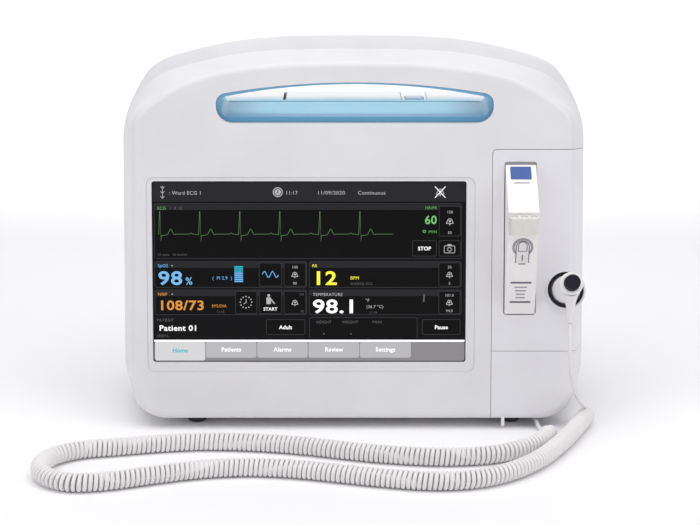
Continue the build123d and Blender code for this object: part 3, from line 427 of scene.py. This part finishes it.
BACKGROUND = glowing("screen_ground", (0.0060, 0.0060, 0.0068), 1.0)
PANEL = glowing("screen_panel", (0.0045, 0.0045, 0.0050), 1.0)
EDGE = glowing("screen_edge", (0.045, 0.045, 0.048), 1.0)
BAND = glowing("screen_band", (0.020, 0.020, 0.022), 1.0)
GREEN = glowing("screen_green", (0.16, 0.33, 0.15), 1.0)
TRACE = glowing("screen_trace", (0.095, 0.180, 0.080), 1.0)
BRIGHT_GREEN = glowing("screen_green_number", (0.17, 0.52, 0.16), 1.0)
SKY = glowing("screen_sky", (0.14, 0.42, 0.80), 1.0)
PALE_SKY = glowing("screen_pale_sky", (0.17, 0.44, 0.76), 1.0)
ORANGE = glowing("screen_orange", (0.66, 0.27, 0.045), 1.0)
YELLOW = glowing("screen_yellow", (0.90, 0.85, 0.05), 1.0)
BRIGHT = glowing("screen_white", (0.95, 0.95, 0.95), 1.0)
SOFT = glowing("screen_soft", (0.40, 0.40, 0.40), 1.0)
DIM = glowing("screen_dim", (0.10, 0.10, 0.105), 1.0)
TEAL = glowing("screen_teal", (0.03, 0.42, 0.53), 1.0)
TAB = glowing("screen_tab", (0.42, 0.42, 0.44), 1.0)
TAB_GROUND = glowing("screen_tab_ground", (0.23, 0.22, 0.235), 1.0)
ACTIVE_TAB = glowing("screen_active_tab", (0.58, 0.58, 0.59), 1.0)

drawn = {}


def canvas(material):
    """The bmesh that gathers everything drawn in one colour."""
    if material.name not in drawn:
        drawn[material.name] = (bmesh.new(), material)
    return drawn[material.name][0]


def draw_box(material, x0, y0, x1, y1, radius=0.0, layer=1):
    """A filled box between two corners, in millimetres from the picture's top left."""
    outline = rounded_corners(x0 * MM, y0 * MM, x1 * MM, y1 * MM, max(radius, 0.05) * MM)
    add_prism(canvas(material), outline, SCREEN, LAYER * (layer - INK), LAYER * layer)


def draw_frame(material, x0, y0, x1, y1, radius, layer=2, width=0.35):
    """A thin outline round a box with round corners."""
    outer = rounded_corners(x0 * MM, y0 * MM, x1 * MM, y1 * MM, radius * MM)
    inner = rounded_corners((x0 + width) * MM, (y0 + width) * MM, (x1 - width) * MM, (y1 - width) * MM,
                            max(radius - width, 0.05) * MM)
    draw_ring(canvas(material), outer, inner, layer - INK, layer)


def draw_ring(form, outer, inner, low, high, plane=None):
    """A closed ring between two outlines that have as many points, between two heights in layers."""
    origin, right, up, out = plane or SCREEN
    loops = []
    for outline, height in ((outer, low), (inner, low), (inner, high), (outer, high)):
        rise = out * LAYER * height
        loops.append([form.verts.new(origin + right * x + up * y + rise) for x, y in outline])
    count = len(outer)
    for a, b in ((0, 1), (1, 2), (2, 3), (3, 0)):
        for i in range(count):
            j = (i + 1) % count
            form.faces.new((loops[a][i], loops[a][j], loops[b][j], loops[b][i]))


def circle(x, y, radius, steps=28):
    """The outline of a circle given in millimetres."""
    turns = [math.tau * i / steps for i in range(steps)]
    return [((x + radius * math.cos(turn)) * MM, (y + radius * math.sin(turn)) * MM) for turn in turns]


def draw_circle(material, x, y, radius, layer=3, width=None):
    """A disc, or a ring where a width is given."""
    if width:
        draw_ring(canvas(material), circle(x, y, radius), circle(x, y, radius - width), layer - INK, layer)
    else:
        add_prism(canvas(material), circle(x, y, radius), SCREEN, LAYER * (layer - INK), LAYER * layer)


def draw_path(material, points, width, layer=3):
    """A line of even width through a list of points."""
    scaled = [(x * MM, y * MM) for x, y in points]
    add_line(canvas(material), scaled, width * MM, SCREEN, LAYER * (layer - INK), LAYER * layer)


CAPITAL_SHARE = 0.7                  # a capital's height as a share of the font's size


def draw_text(material, words, x, y, size, align="LEFT", bold=0.0, layer=4, wide=1.0, plane=SCREEN):
    """Words whose baseline starts at x, y. size is a capital's height, and wide stretches them sideways."""
    curve = bpy.data.curves.new("words", "FONT")
    curve.body = words
    curve.size = size * MM / CAPITAL_SHARE
    curve.align_x = align
    curve.offset = bold * MM
    curve.space_character = 1.06
    curve.extrude = LAYER * INK / 2
    curve.resolution_u = 3
    holder = bpy.data.objects.new("words", curve)
    bpy.context.scene.collection.objects.link(holder)
    origin, right, up, out = plane
    place = origin + right * x * MM + up * y * MM + out * LAYER * layer
    turn = Matrix((right, -up, out)).transposed().to_4x4()
    holder.matrix_world = Matrix.Translation(place) @ turn @ Matrix.Diagonal((wide, 1, 1, 1))
    bpy.context.view_layer.update()
    mesh = bpy.data.meshes.new_from_object(holder.evaluated_get(bpy.context.evaluated_depsgraph_get()))
    mesh.transform(holder.matrix_world)
    canvas(material).from_mesh(mesh)
    bpy.data.objects.remove(holder)
    bpy.data.meshes.remove(mesh)


def draw_bell(material, x, y, size=2.0):
    """An alarm bell: a dome over a flared skirt, its rim and its clapper."""
    dome = [(x - 1.05 * size, y + 0.75 * size)]
    for step in range(13):
        angle = math.pi + math.pi * step / 12
        dome.append((x + 0.66 * size * math.cos(angle), y + 0.62 * size * math.sin(angle)))
    dome.append((x + 1.05 * size, y + 0.75 * size))
    draw_path(material, dome, 0.45)
    draw_path(material, [(x - 1.1 * size, y + 0.8 * size), (x + 1.1 * size, y + 0.8 * size)], 0.45)
    draw_circle(material, x, y + 0.1 * size, 0.34 * size)
    draw_circle(material, x, y + 1.15 * size, 0.2 * size)


def draw_button(x0, y0, x1, y1):
    """A dark key with a thin pale outline."""
    draw_box(PANEL, x0, y0, x1, y1, 1.0, 2)
    draw_frame(EDGE, x0, y0, x1, y1, 1.0, 3, 0.3)


def draw_panel(x0, y0, x1, y1, band=4.0):
    """A dark panel with a thin outline and a paler band along its top."""
    draw_box(EDGE, x0, y0, x1, y1, 1.4, 1)
    draw_box(PANEL, x0 + 0.3, y0 + 0.3, x1 - 0.3, y1 - 0.3, 1.2, 1.5)
    draw_box(BAND, x0 + 0.5, y0 + 0.5, x1 - 0.5, y0 + band, 1.1, 1.8)


def draw_limits(x0, y0, x1, y1, high, low):
    """A key with an alarm bell between its upper and lower limits."""
    draw_button(x0, y0, x1, y1)
    middle = (x0 + x1) / 2
    size = 2.1 if y1 - y0 > 15 else 1.85
    draw_text(SOFT, high, middle, y0 + 0.24 * (y1 - y0), 1.7, "CENTER")
    draw_bell(SOFT, middle, (y0 + y1) / 2 - 0.3, size)
    draw_text(SOFT, low, middle, y1 - 0.08 * (y1 - y0), 1.7, "CENTER")


HEART = [(0, 1.0), (-0.95, 0.1), (-0.95, -0.55), (-0.5, -0.85), (0, -0.4), (0.5, -0.85), (0.95, -0.55),
         (0.95, 0.1), (0, 1.0)]


def heartbeat(x, base, first):
    """One beat of the trace: the P bump, the tall spike, its dip and the T bump."""
    start = [] if first else [(x - 6.6, base), (x - 5.5, base - 0.7), (x - 4.4, base)]
    spike = [(x - 0.75, base + 0.3), (x - 0.1, base - 14.2), (x + 0.1, base - 14.2), (x + 0.65, base + 4.8),
             (x + 1.1, base + 0.9), (x + 3.4, base + 0.7)]
    bump = [(x + 4.5 + 4.6 * t / 8, base + 0.4 - 3.6 * math.sin(math.pi * t / 8) ** 2) for t in range(9)]
    return start + spike + bump + [(x + 10.5, base)]


SCREEN_WIDE, SCREEN_HIGH = SCREEN_SIZE[0] / MM, SCREEN_SIZE[1] / MM


def draw_status_row():
    """The place, the time, the date and the silenced alarm."""
    for side in (-1, 1):
        for level in (3.4, 6.4, 9.4):
            draw_path(SOFT, [(6.8, level + 1.2), (6.8 + side * 1.3, level)], 0.35)
    draw_path(SOFT, [(6.8, 2.8), (6.8, 11.0)], 0.35)
    draw_text(SOFT, ": Ward ECG 1", 10.9, 8.5, 2.3)
    draw_circle(SOFT, 78.8, 6.9, 3.1, width=0.6)
    draw_circle(SOFT, 78.8, 6.9, 2.0)
    draw_path(BACKGROUND, [(78.8, 5.6), (78.8, 7.1), (77.8, 7.6)], 0.4, 4.5)
    draw_text(SOFT, "11:17", 83.6, 8.4, 2.3)
    draw_text(SOFT, "11/09/2020", 103.4, 8.4, 2.3, wide=1.1)
    draw_text(SOFT, "Continuous", 128.8, 8.4, 2.3, wide=1.05)
    draw_bell(SOFT, 180.3, 6.3, 2.3)
    for side in (-1, 1):
        draw_path(BRIGHT, [(180.3 - side * 3.3, 3.4), (180.3 + side * 3.3, 10.4)], 0.5, 5)


def draw_heart_panel():
    """The ECG trace, the heart rate and its keys."""
    draw_panel(1.3, 14.0, 194.0, 48.6)
    base = 33.2
    trace = []
    for beat in range(6):
        trace += heartbeat(4.9 + 25.05 * beat, base, beat == 0)
    draw_path(TRACE, trace + [(151.0, base)], 0.30)
    draw_text(GREEN, "ECG", 3.4, 17.9, 1.9)
    draw_text(DIM, "I  II  III", 11.5, 17.9, 1.8)
    draw_text(DIM, "25 mm/s   10 mm/mV", 3.4, 46.8, 1.4)
    draw_text(GREEN, "HR/PR", 178.3, 17.6, 1.8, "RIGHT")
    draw_text(BRIGHT_GREEN, "60", 178.3, 26.8, 5.2, "RIGHT", 0.12)
    draw_path(BRIGHT_GREEN, [(170.5 + 0.9 * x, 31.6 + 0.9 * y) for x, y in HEART], 0.3)
    draw_text(GREEN, "/MIN", 178.4, 32.6, 1.8, "RIGHT")
    draw_limits(179.6, 15.6, 193.2, 34.6, "120", "50")
    draw_button(163.0, 37.2, 178.2, 47.2)
    draw_text(BRIGHT, "STOP", 170.6, 43.4, 2.3, "CENTER", 0.08)
    draw_button(179.6, 37.2, 193.2, 47.2)
    draw_frame(SOFT, 182.8, 40.4, 189.8, 45.2, 0.8, 4, 0.4)
    draw_box(SOFT, 185.0, 39.5, 187.6, 40.5, 0.3, 4)
    draw_circle(SOFT, 186.3, 42.8, 1.4, 4.2, width=0.4)


def draw_oxygen_panel():
    """Blood oxygen, its signal bar, its wave key and its limits."""
    draw_panel(1.3, 50.4, 96.8, 66.9)
    draw_text(SKY, "SpO2", 3.4, 54.0, 1.9)
    draw_circle(SOFT, 12.3, 53.1, 0.4)
    draw_text(PALE_SKY, "98", 3.4, 65.0, 8.4, bold=0.22, wide=1.25)
    draw_text(PALE_SKY, "%", 20.6, 65.0, 4.6, bold=0.05)
    draw_text(SKY, "(  PI 2.9  )", 37.5, 61.8, 2.0)
    for bar in range(8):
        draw_box(SKY if bar > 2 else TEAL, 51.4, 53.4 + 1.3 * bar, 56.8, 54.3 + 1.3 * bar, 0.1, 3)
    draw_button(66.8, 51.2, 81.2, 66.2)
    wave = [(69.0 + 0.5 * t, 58.6 - 2.0 * math.sin(t * 0.62) * (1 if t % 2 else 0.9)) for t in range(21)]
    draw_path(SKY, wave, 0.45)
    draw_limits(82.4, 51.2, 96.2, 66.2, "100", "90")


def draw_breathing_panel():
    """The breathing rate and its limits."""
    draw_panel(98.2, 50.4, 194.0, 66.9)
    draw_text(YELLOW, "RR", 100.2, 54.0, 1.8)
    draw_text(YELLOW, "12", 100.4, 65.0, 8.4, bold=0.25, wide=1.25)
    draw_text(YELLOW, "BPM", 124.2, 61.8, 2.0)
    draw_text(DIM, "SOURCE: ECG", 124.2, 65.2, 1.5)
    draw_limits(179.6, 51.2, 193.2, 66.2, "30", "5")


def draw_pressure_panel():
    """The cuff's pressures, its timer key and its start key."""
    draw_panel(1.3, 68.3, 96.8, 84.2)
    draw_text(ORANGE, "NIBP", 3.2, 72.0, 1.9)
    draw_circle(SOFT, 12.3, 71.1, 0.4)
    draw_text(ORANGE, "108/73", 3.4, 81.0, 5.9, bold=0.16, wide=1.18)
    draw_text(ORANGE, "SYS/DIA", 37.0, 79.4, 1.8)
    draw_text(DIM, "11:15", 40.0, 82.9, 1.5)
    draw_button(51.8, 69.1, 65.6, 83.6)
    for tick in range(12):
        angle = math.tau * tick / 12
        draw_circle(SOFT, 58.6 + 3.6 * math.cos(angle), 76.2 + 3.6 * math.sin(angle), 0.42)
    draw_path(SOFT, [(58.7, 74.2), (58.7, 76.4), (57.1, 77.2)], 0.4)
    draw_button(66.8, 69.1, 81.2, 83.6)
    draw_circle(SOFT, 72.9, 71.9, 0.9)
    draw_box(SOFT, 71.4, 73.1, 74.3, 77.4, 0.6, 3)
    draw_path(SOFT, [(74.2, 74.2), (76.6, 77.2)], 0.8)
    draw_text(BRIGHT, "START", 73.9, 81.4, 2.0, "CENTER", 0.05)
    draw_limits(82.4, 69.1, 96.2, 83.6, "", "")
    draw_text(DIM, "160", 95.0, 71.8, 1.4, "RIGHT")
    draw_text(DIM, "90", 95.0, 82.6, 1.4, "RIGHT")


def draw_temperature_panel():
    """The temperature in both scales and its limits."""
    draw_panel(98.2, 68.3, 194.0, 84.2)
    draw_text(SOFT, "TEMPERATURE", 100.6, 72.2, 1.9)
    draw_text(BRIGHT, "98.1", 100.4, 82.9, 8.4, bold=0.25, wide=1.3)
    draw_text(SOFT, "°F", 133.6, 76.0, 2.0)
    draw_text(SOFT, "(36.7 °C)", 134.2, 79.9, 1.9)
    draw_text(DIM, "11:16", 136.0, 83.2, 1.5)
    draw_path(DIM, [(170.6, 71.0), (170.2, 76.0)], 1.0)
    draw_limits(179.6, 69.1, 193.2, 83.6, "101.0", "94.0")


def draw_patient_row():
    """A made-up patient, and the fields and keys beside."""
    draw_text(DIM, "PATIENT", 2.4, 88.4, 1.8)
    draw_text(BRIGHT, "Patient 01", 3.8, 94.2, 3.4, bold=0.1, wide=1.15)
    draw_text(DIM, "000012", 2.4, 98.2, 1.6)
    draw_button(71.2, 87.0, 95.6, 96.8)
    draw_text(BRIGHT, "Adult", 83.4, 93.2, 2.4, "CENTER", 0.08)
    draw_box(EDGE, 98.4, 85.7, 166.4, 99.2, 1.4, 1)
    draw_box(PANEL, 98.7, 86.0, 166.1, 99.2, 1.2, 1.5)
    for words, x in (("HEIGHT", 107.5), ("WEIGHT", 124.0), ("PAIN", 141.0)):
        draw_text(DIM, words, x, 89.6, 1.8, "CENTER")
    for x in (107.5, 124.5):
        draw_circle(DIM, x, 96.2, 0.5)
    draw_button(169.4, 87.0, 193.4, 96.8)
    draw_text(BRIGHT, "Pause", 181.4, 93.2, 2.4, "CENTER", 0.08)


def draw_tabs():
    """The row of tabs under a pale line."""
    draw_box(BRIGHT, 0.6, 100.0, SCREEN_WIDE - 0.6, 101.3, 0.1, 1.6)
    draw_box(TAB_GROUND, 0.6, 101.3, SCREEN_WIDE - 0.6, SCREEN_HIGH - 0.6, 1.4, 1.2)
    tab_edges = [0.9, 33.0, 65.3, 97.6, 130.0, 162.6]
    names = ("Home", "Patients", "Alarms", "Review", "Settings")
    for name, x0, x1 in zip(names, tab_edges, tab_edges[1:]):
        active = name == "Home"
        foot, baseline = (113.2, 108.0) if active else (111.4, 107.4)
        draw_box(ACTIVE_TAB if active else TAB, x0 + 0.2, 101.2, x1 - 0.3, foot, 1.4, 2)
        draw_text(TEAL if active else BRIGHT, name, (x0 + x1) / 2, baseline, 2.6, "CENTER", 0.1)


def draw_screen():
    """The lit picture on the display, from its ground up."""
    draw_box(BACKGROUND, 0.4, 0.4, SCREEN_WIDE - 0.4, SCREEN_HIGH - 0.4, 1.6, 0.8)
    draw_box(BAND, 0.6, 0.6, SCREEN_WIDE - 0.6, 12.8, 1.4, 1)
    draw_status_row()
    draw_heart_panel()
    draw_oxygen_panel()
    draw_breathing_panel()
    draw_pressure_panel()
    draw_temperature_panel()
    draw_patient_row()
    draw_tabs()
    finish_drawing("chassis")


def finish_drawing(body):
    """Turns everything drawn so far into one piece for each colour."""
    for name, (form, material) in drawn.items():
        mesh = bpy.data.meshes.new(name)
        bmesh.ops.remove_doubles(form, verts=form.verts, dist=1e-7)
        bmesh.ops.recalc_face_normals(form, faces=form.faces)
        form.to_mesh(mesh)
        form.free()
        mesh.materials.append(material)
        piece = bpy.data.objects.new(name, mesh)
        bpy.context.scene.collection.objects.link(piece)
        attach(piece, body)
    drawn.clear()


# ---- Print on the carton of probe covers ----
ACROSS = Vector((1, 0, 0))
CARTON_FOOT = Vector((0.10415, -0.0398, 0.0736))
CARTON_FRONT_HEIGHT = 57.5           # millimetres
CARTON_FACE_TOP = CARTON_FOOT + CARTON_UP * CARTON_FRONT_HEIGHT * MM
CARTON_FACE = (CARTON_FACE_TOP, ACROSS, -CARTON_UP, CARTON_OUT)
LID_SLOPE = math.radians(26)
LID_ALONG = -CARTON_OUT * math.cos(LID_SLOPE) + CARTON_UP * math.sin(LID_SLOPE)
LID_OUT = CARTON_UP * math.cos(LID_SLOPE) + CARTON_OUT * math.sin(LID_SLOPE)
LID_FOOT_IN = 0.0027
LID_FOOT_UP = 0.0702
LID_FOOT = CARTON_FOOT - CARTON_OUT * LID_FOOT_IN + CARTON_UP * LID_FOOT_UP
CARTON_LID = (LID_FOOT, ACROSS, LID_ALONG, LID_OUT)
RING_DOWN = 10.0                     # from the front wall's top edge, in millimetres


def printed(name, colour):
    """Ink on card: flat, with a slightly uneven coverage."""
    return moulded(name, colour, 0.6, grain=900.0, relief=0.04, mottle=0.06)


def print_shape(material, outline, plane=None, layer=2):
    """A flat printed shape on the carton's front, or on another of its faces."""
    scaled = [(x * MM, y * MM) for x, y in outline]
    add_prism(canvas(material), scaled, plane or CARTON_FACE, LAYER * (layer - 1.5), LAYER * layer)


def arch(half, top, bottom, steps=14):
    """The outline of a finger: straight sides under a half-round end."""
    points = [(-half, bottom)]
    for step in range(steps + 1):
        angle = math.pi - math.pi * step / steps
        points.append((half * math.cos(angle), top + half - half * math.sin(angle)))
    return points + [(half, bottom)]


def draw_carton():
    """A generic picture of a fingertip in a ring, and plain bars where the small print would be."""
    outer, inner = circle(0.0, RING_DOWN, 6.5, 40), circle(0.0, RING_DOWN, 4.9, 40)
    draw_ring(canvas(MAUVE), outer, inner, 0.5, 2.0, CARTON_FACE)
    print_shape(DEEP_MAUVE, arch(4.3, 5.3, 20.9), layer=3)
    print_shape(CARD_PRINT, arch(3.7, 5.9, 20.9), layer=4)
    print_shape(DEEP_MAUVE, arch(2.9, 5.9, 12.9), layer=5)
    print_shape(CARD_PRINT, arch(2.35, 6.4, 12.4), layer=6)
    draw_text(DEEP_MAUVE, "1", 0.0, 19.2, 3.9, "CENTER", 0.1, 7, plane=CARTON_FACE)
    for y, half, thick in ((21.3, 2.1, 0.7), (34.3, 6.5, 1.3), (48.2, 6.5, 1.3)):
        print_shape(DEEP_MAUVE, [(-half, y), (half, y), (half, y + thick), (-half, y + thick)])
    for y, half in ((37.8, 3.9), (40.3, 3.4), (42.8, 2.8), (45.3, 3.0)):
        print_shape(MAUVE, [(-half, y), (half, y), (half, y + 0.9), (-half, y + 0.9)])
    label = rounded_corners(-6.8, 25.5, 6.2, 35.6, 0.6)
    print_shape(LABEL_BLUE, label, CARTON_LID)
    print_shape(MAUVE, [(-5.0, 22.4), (4.6, 22.4), (4.6, 23.3), (-5.0, 23.3)], CARTON_LID)
    finish_drawing("carton")


MAUVE = printed("print_mauve", (0.36, 0.33, 0.37))
DEEP_MAUVE = printed("print_deep_mauve", (0.17, 0.14, 0.18))
CARD_PRINT = printed("print_card", (0.80, 0.78, 0.78))
LABEL_BLUE = printed("print_blue", (0.045, 0.105, 0.36))


# ---- Curly cord ----
CORD = 0.0025                        # diameter of the wire
COIL = 0.0115                        # diameter over the turns
PITCH = 0.00297
HELIX_STEPS = 14                     # points in each turn
COIL_AXIS_Z = COIL / 2
RELIEF_OUT = 0.029                   # from the well's mouth to the middle of the strain relief
HEAD_Y = WELL_MOUTH.y - RELIEF_OUT * math.cos(PROBE_RISE)
LEAD_ROUTE = [
    (133.0, HEAD_Y / MM, 75.0), (133.2, HEAD_Y / MM - 0.6, 54), (136.0, HEAD_Y / MM + 6, 34),
    (141.5, HEAD_Y / MM + 14, 20), (147.0, HEAD_Y / MM + 25, 12),
]
COIL_ROUTE = [
    (149, -36), (139, -62), (127, -89), (111, -119), (91, -141), (70, -153), (45, -155.5), (20, -150.5),
    (-6, -143), (-33, -134.5), (-61, -131), (-90, -134.5), (-118, -145), (-144, -156), (-167, -158.5),
    (-184.5, -142), (-184.5, -117), (-167, -101), (-146, -97), (-122, -90.5), (-94, -86), (-63, -87.5),
    (-32, -93.5), (-2, -104), (27.7, -111.8), (57.5, -115), (86, -110.5), (106, -96.5), (117, -83),
    (121, -71),
]
TAIL_ROUTE = [
    (121, -70, 1.3), (119.6, -60.5, 1.35), (117.4, -50.5, 1.6), (115.7, -40.8, 4.3), (115, -30.8, 10.4),
    (115, -21, 12.7),
]


def smooth_line(points, resolution=24):
    """Points read from the NURBS spline whose control points are the route's."""
    curve = bpy.data.curves.new("route", "CURVE")
    curve.dimensions = "3D"
    curve.resolution_u = resolution
    spline = curve.splines.new("NURBS")
    spline.points.add(len(points) - 1)
    for slot, point in zip(spline.points, points):
        slot.co = (*point, 1)
    spline.order_u = 3
    spline.use_endpoint_u = True
    holder = bpy.data.objects.new("route", curve)
    bpy.context.scene.collection.objects.link(holder)
    bpy.context.view_layer.update()
    mesh = bpy.data.meshes.new_from_object(holder.evaluated_get(bpy.context.evaluated_depsgraph_get()))
    line = [vertex.co.copy() for vertex in mesh.vertices]
    bpy.data.objects.remove(holder)
    bpy.data.meshes.remove(mesh)
    return line


def lengths_along(line):
    """The distance from a line's start to each of its points."""
    total = [0.0]
    for a, b in zip(line, line[1:]):
        total.append(total[-1] + (b - a).length)
    return total


def at_length(line, along, distance):
    """The point and direction at a distance along a line."""
    low, high = 0, len(along) - 1
    while high - low > 1:
        middle = (low + high) // 2
        if along[middle] <= distance:
            low = middle
        else:
            high = middle
    share = (distance - along[low]) / max(along[high] - along[low], 1e-9)
    return line[low].lerp(line[high], share), (line[high] - line[low]).normalized()


def helix_points(steps_per_turn=HELIX_STEPS):
    """The wire's turns round the coil's own line, which is read from its NURBS spline."""
    line = smooth_line([(x * MM, y * MM, COIL_AXIS_Z) for x, y in COIL_ROUTE], 32)
    along = lengths_along(line)
    radius = (COIL - CORD) / 2
    turns = int(along[-1] / PITCH)
    points = []
    for step in range(turns * steps_per_turn + 1):
        distance = along[-1] * step / (turns * steps_per_turn)
        centre, ahead = at_length(line, along, distance)
        side = Vector((ahead.y, -ahead.x, 0)).normalized()
        angle = math.tau * step / steps_per_turn + HELIX_START
        points.append(centre + (side * math.cos(angle) + Vector((0, 0, 1)) * math.sin(angle)) * radius)
    return points


HELIX_START = math.radians(90)


def tube_mesh(name, line, radius, sides, material):
    """A round tube with closed ends along a line, without twist."""
    form = bmesh.new()
    rings = []
    ahead = (line[1] - line[0]).normalized()
    side = ahead.orthogonal().normalized()
    for i, point in enumerate(line):
        new_ahead = (line[min(i + 1, len(line) - 1)] - line[max(i - 1, 0)]).normalized()
        side = (ahead.rotation_difference(new_ahead) @ side)
        side = (side - new_ahead * side.dot(new_ahead)).normalized()
        ahead = new_ahead
        up = ahead.cross(side)
        rings.append([form.verts.new(point + (side * math.cos(math.tau * k / sides)
                                              + up * math.sin(math.tau * k / sides)) * radius)
                      for k in range(sides)])
    for a, b in zip(rings, rings[1:]):
        for k in range(sides):
            j = (k + 1) % sides
            form.faces.new((a[k], a[j], b[j], b[k]))
    form.faces.new(rings[0][::-1])
    form.faces.new(rings[-1])
    bmesh.ops.recalc_face_normals(form, faces=form.faces)
    mesh = bpy.data.meshes.new(name)
    form.to_mesh(mesh)
    form.free()
    mesh.polygons.foreach_set("use_smooth", [True] * len(mesh.polygons))
    mesh.materials.append(material)
    piece = bpy.data.objects.new(name, mesh)
    bpy.context.scene.collection.objects.link(piece)
    return piece


def build_cord():
    """The probe's cord in one piece: a plain lead, the coil on the floor and a plain tail."""
    lead = [tuple(c * MM for c in point) for point in LEAD_ROUTE]
    tail = [tuple(c * MM for c in point) for point in reversed(TAIL_ROUTE)]
    turns = [tuple(point) for point in helix_points()]
    control = lead + turns + tail[::-1]
    line = smooth_line(control, 2)
    cord = tube_mesh("probe_cord", line, CORD / 2, 9, JACKET)
    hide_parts("probe_cord_lead", "probe_cord_coil", "probe_cord_tail")
    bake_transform(cord)


def settle_spring():
    """Gives the spring under the eject button a mesh of its own."""
    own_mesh(NODES["eject_spring"])


# ---- Floor, light and camera ----
STAGE_REACH = 3.0
STAGE_HALF = 4.0
BEND_START = 1.2
BEND_RADIUS = 0.6
WALL_TOP = 4.0


def build_stage():
    """A pale floor that curves up into a pale wall."""
    form = bmesh.new()
    rows = []
    profile = [(-STAGE_REACH, 0.0), (BEND_START, 0.0)]
    for step in range(1, 9):
        angle = math.radians(90 * step / 8)
        back, rise = BEND_RADIUS * math.sin(angle), BEND_RADIUS - BEND_RADIUS * math.cos(angle)
        profile.append((BEND_START + back, rise))
    profile.append((BEND_START + BEND_RADIUS, WALL_TOP))
    for y, z in profile:
        rows.append([form.verts.new((x, y, z)) for x in (-STAGE_HALF, STAGE_HALF)])
    for a, b in zip(rows, rows[1:]):
        form.faces.new((a[0], a[1], b[1], b[0]))
    mesh = bpy.data.meshes.new("studio_floor")
    form.to_mesh(mesh)
    form.free()
    mesh.polygons.foreach_set("use_smooth", [True] * len(mesh.polygons))
    material, shader = new_material("studio_paper", (0.93, 0.925, 0.94), 0.9)
    mesh.materials.append(material)
    floor = bpy.data.objects.new("studio_floor", mesh)
    bpy.context.scene.collection.objects.link(floor)


def add_area_light(name, place, target, size, power):
    """A soft rectangular light that faces a point."""
    light = bpy.data.lights.new(name, "AREA")
    light.shape = "RECTANGLE"
    light.size, light.size_y = size
    light.energy = power
    holder = bpy.data.objects.new(name, light)
    holder.location = place
    holder.rotation_euler = (Vector(target) - Vector(place)).to_track_quat("-Z", "Y").to_euler()
    bpy.context.scene.collection.objects.link(holder)


def build_lights():
    """An even studio: a pale surround and four soft lights."""
    world = bpy.data.worlds.new("studio")
    bpy.context.scene.world = world
    world.use_nodes = True
    world.node_tree.nodes["Background"].inputs["Color"].default_value = (1.0, 0.985, 1.0, 1)
    world.node_tree.nodes["Background"].inputs["Strength"].default_value = 0.30
    for name, place, target, size, power in LIGHTS:
        add_area_light(name, place, target, size, power)


# name, place, the point it faces, size, watts
LIGHTS = (
    ("overhead", (0, -0.35, 1.6), (0, 0, 0.1), (2.2, 1.6), 21.5),
    ("left", (-1.5, -1.0, 0.9), (0, 0, 0.12), (1.2, 1.2), 6.8),
    ("right", (1.5, -1.0, 0.9), (0, 0, 0.12), (1.2, 1.2), 6.8),
    ("backdrop", (0, 0.6, 1.0), (0, 1.8, 0.85), (3.2, 0.8), 17),
)
CAMERA_PLACE = Vector((-0.0022, -1.146, 0.380))
CAMERA_DIP = math.radians(13.87)
CAMERA_LENS = 93.96                  # millimetres, on a sensor 36 mm wide


def build_camera():
    """The camera at the photo's angle, level from side to side."""
    camera = bpy.data.cameras.new("camera")
    camera.sensor_width = 36.0
    camera.lens = CAMERA_LENS
    holder = bpy.data.objects.new("camera", camera)
    holder.location = CAMERA_PLACE
    holder.rotation_euler = (math.radians(90) - CAMERA_DIP, 0, 0)
    bpy.context.scene.collection.objects.link(holder)
    bpy.context.scene.camera = holder


paint_nodes()
draw_screen()
draw_carton()
build_cord()
settle_spring()
build_stage()
build_lights()
build_camera()
bpy.context.scene.view_settings.view_transform = "Standard"
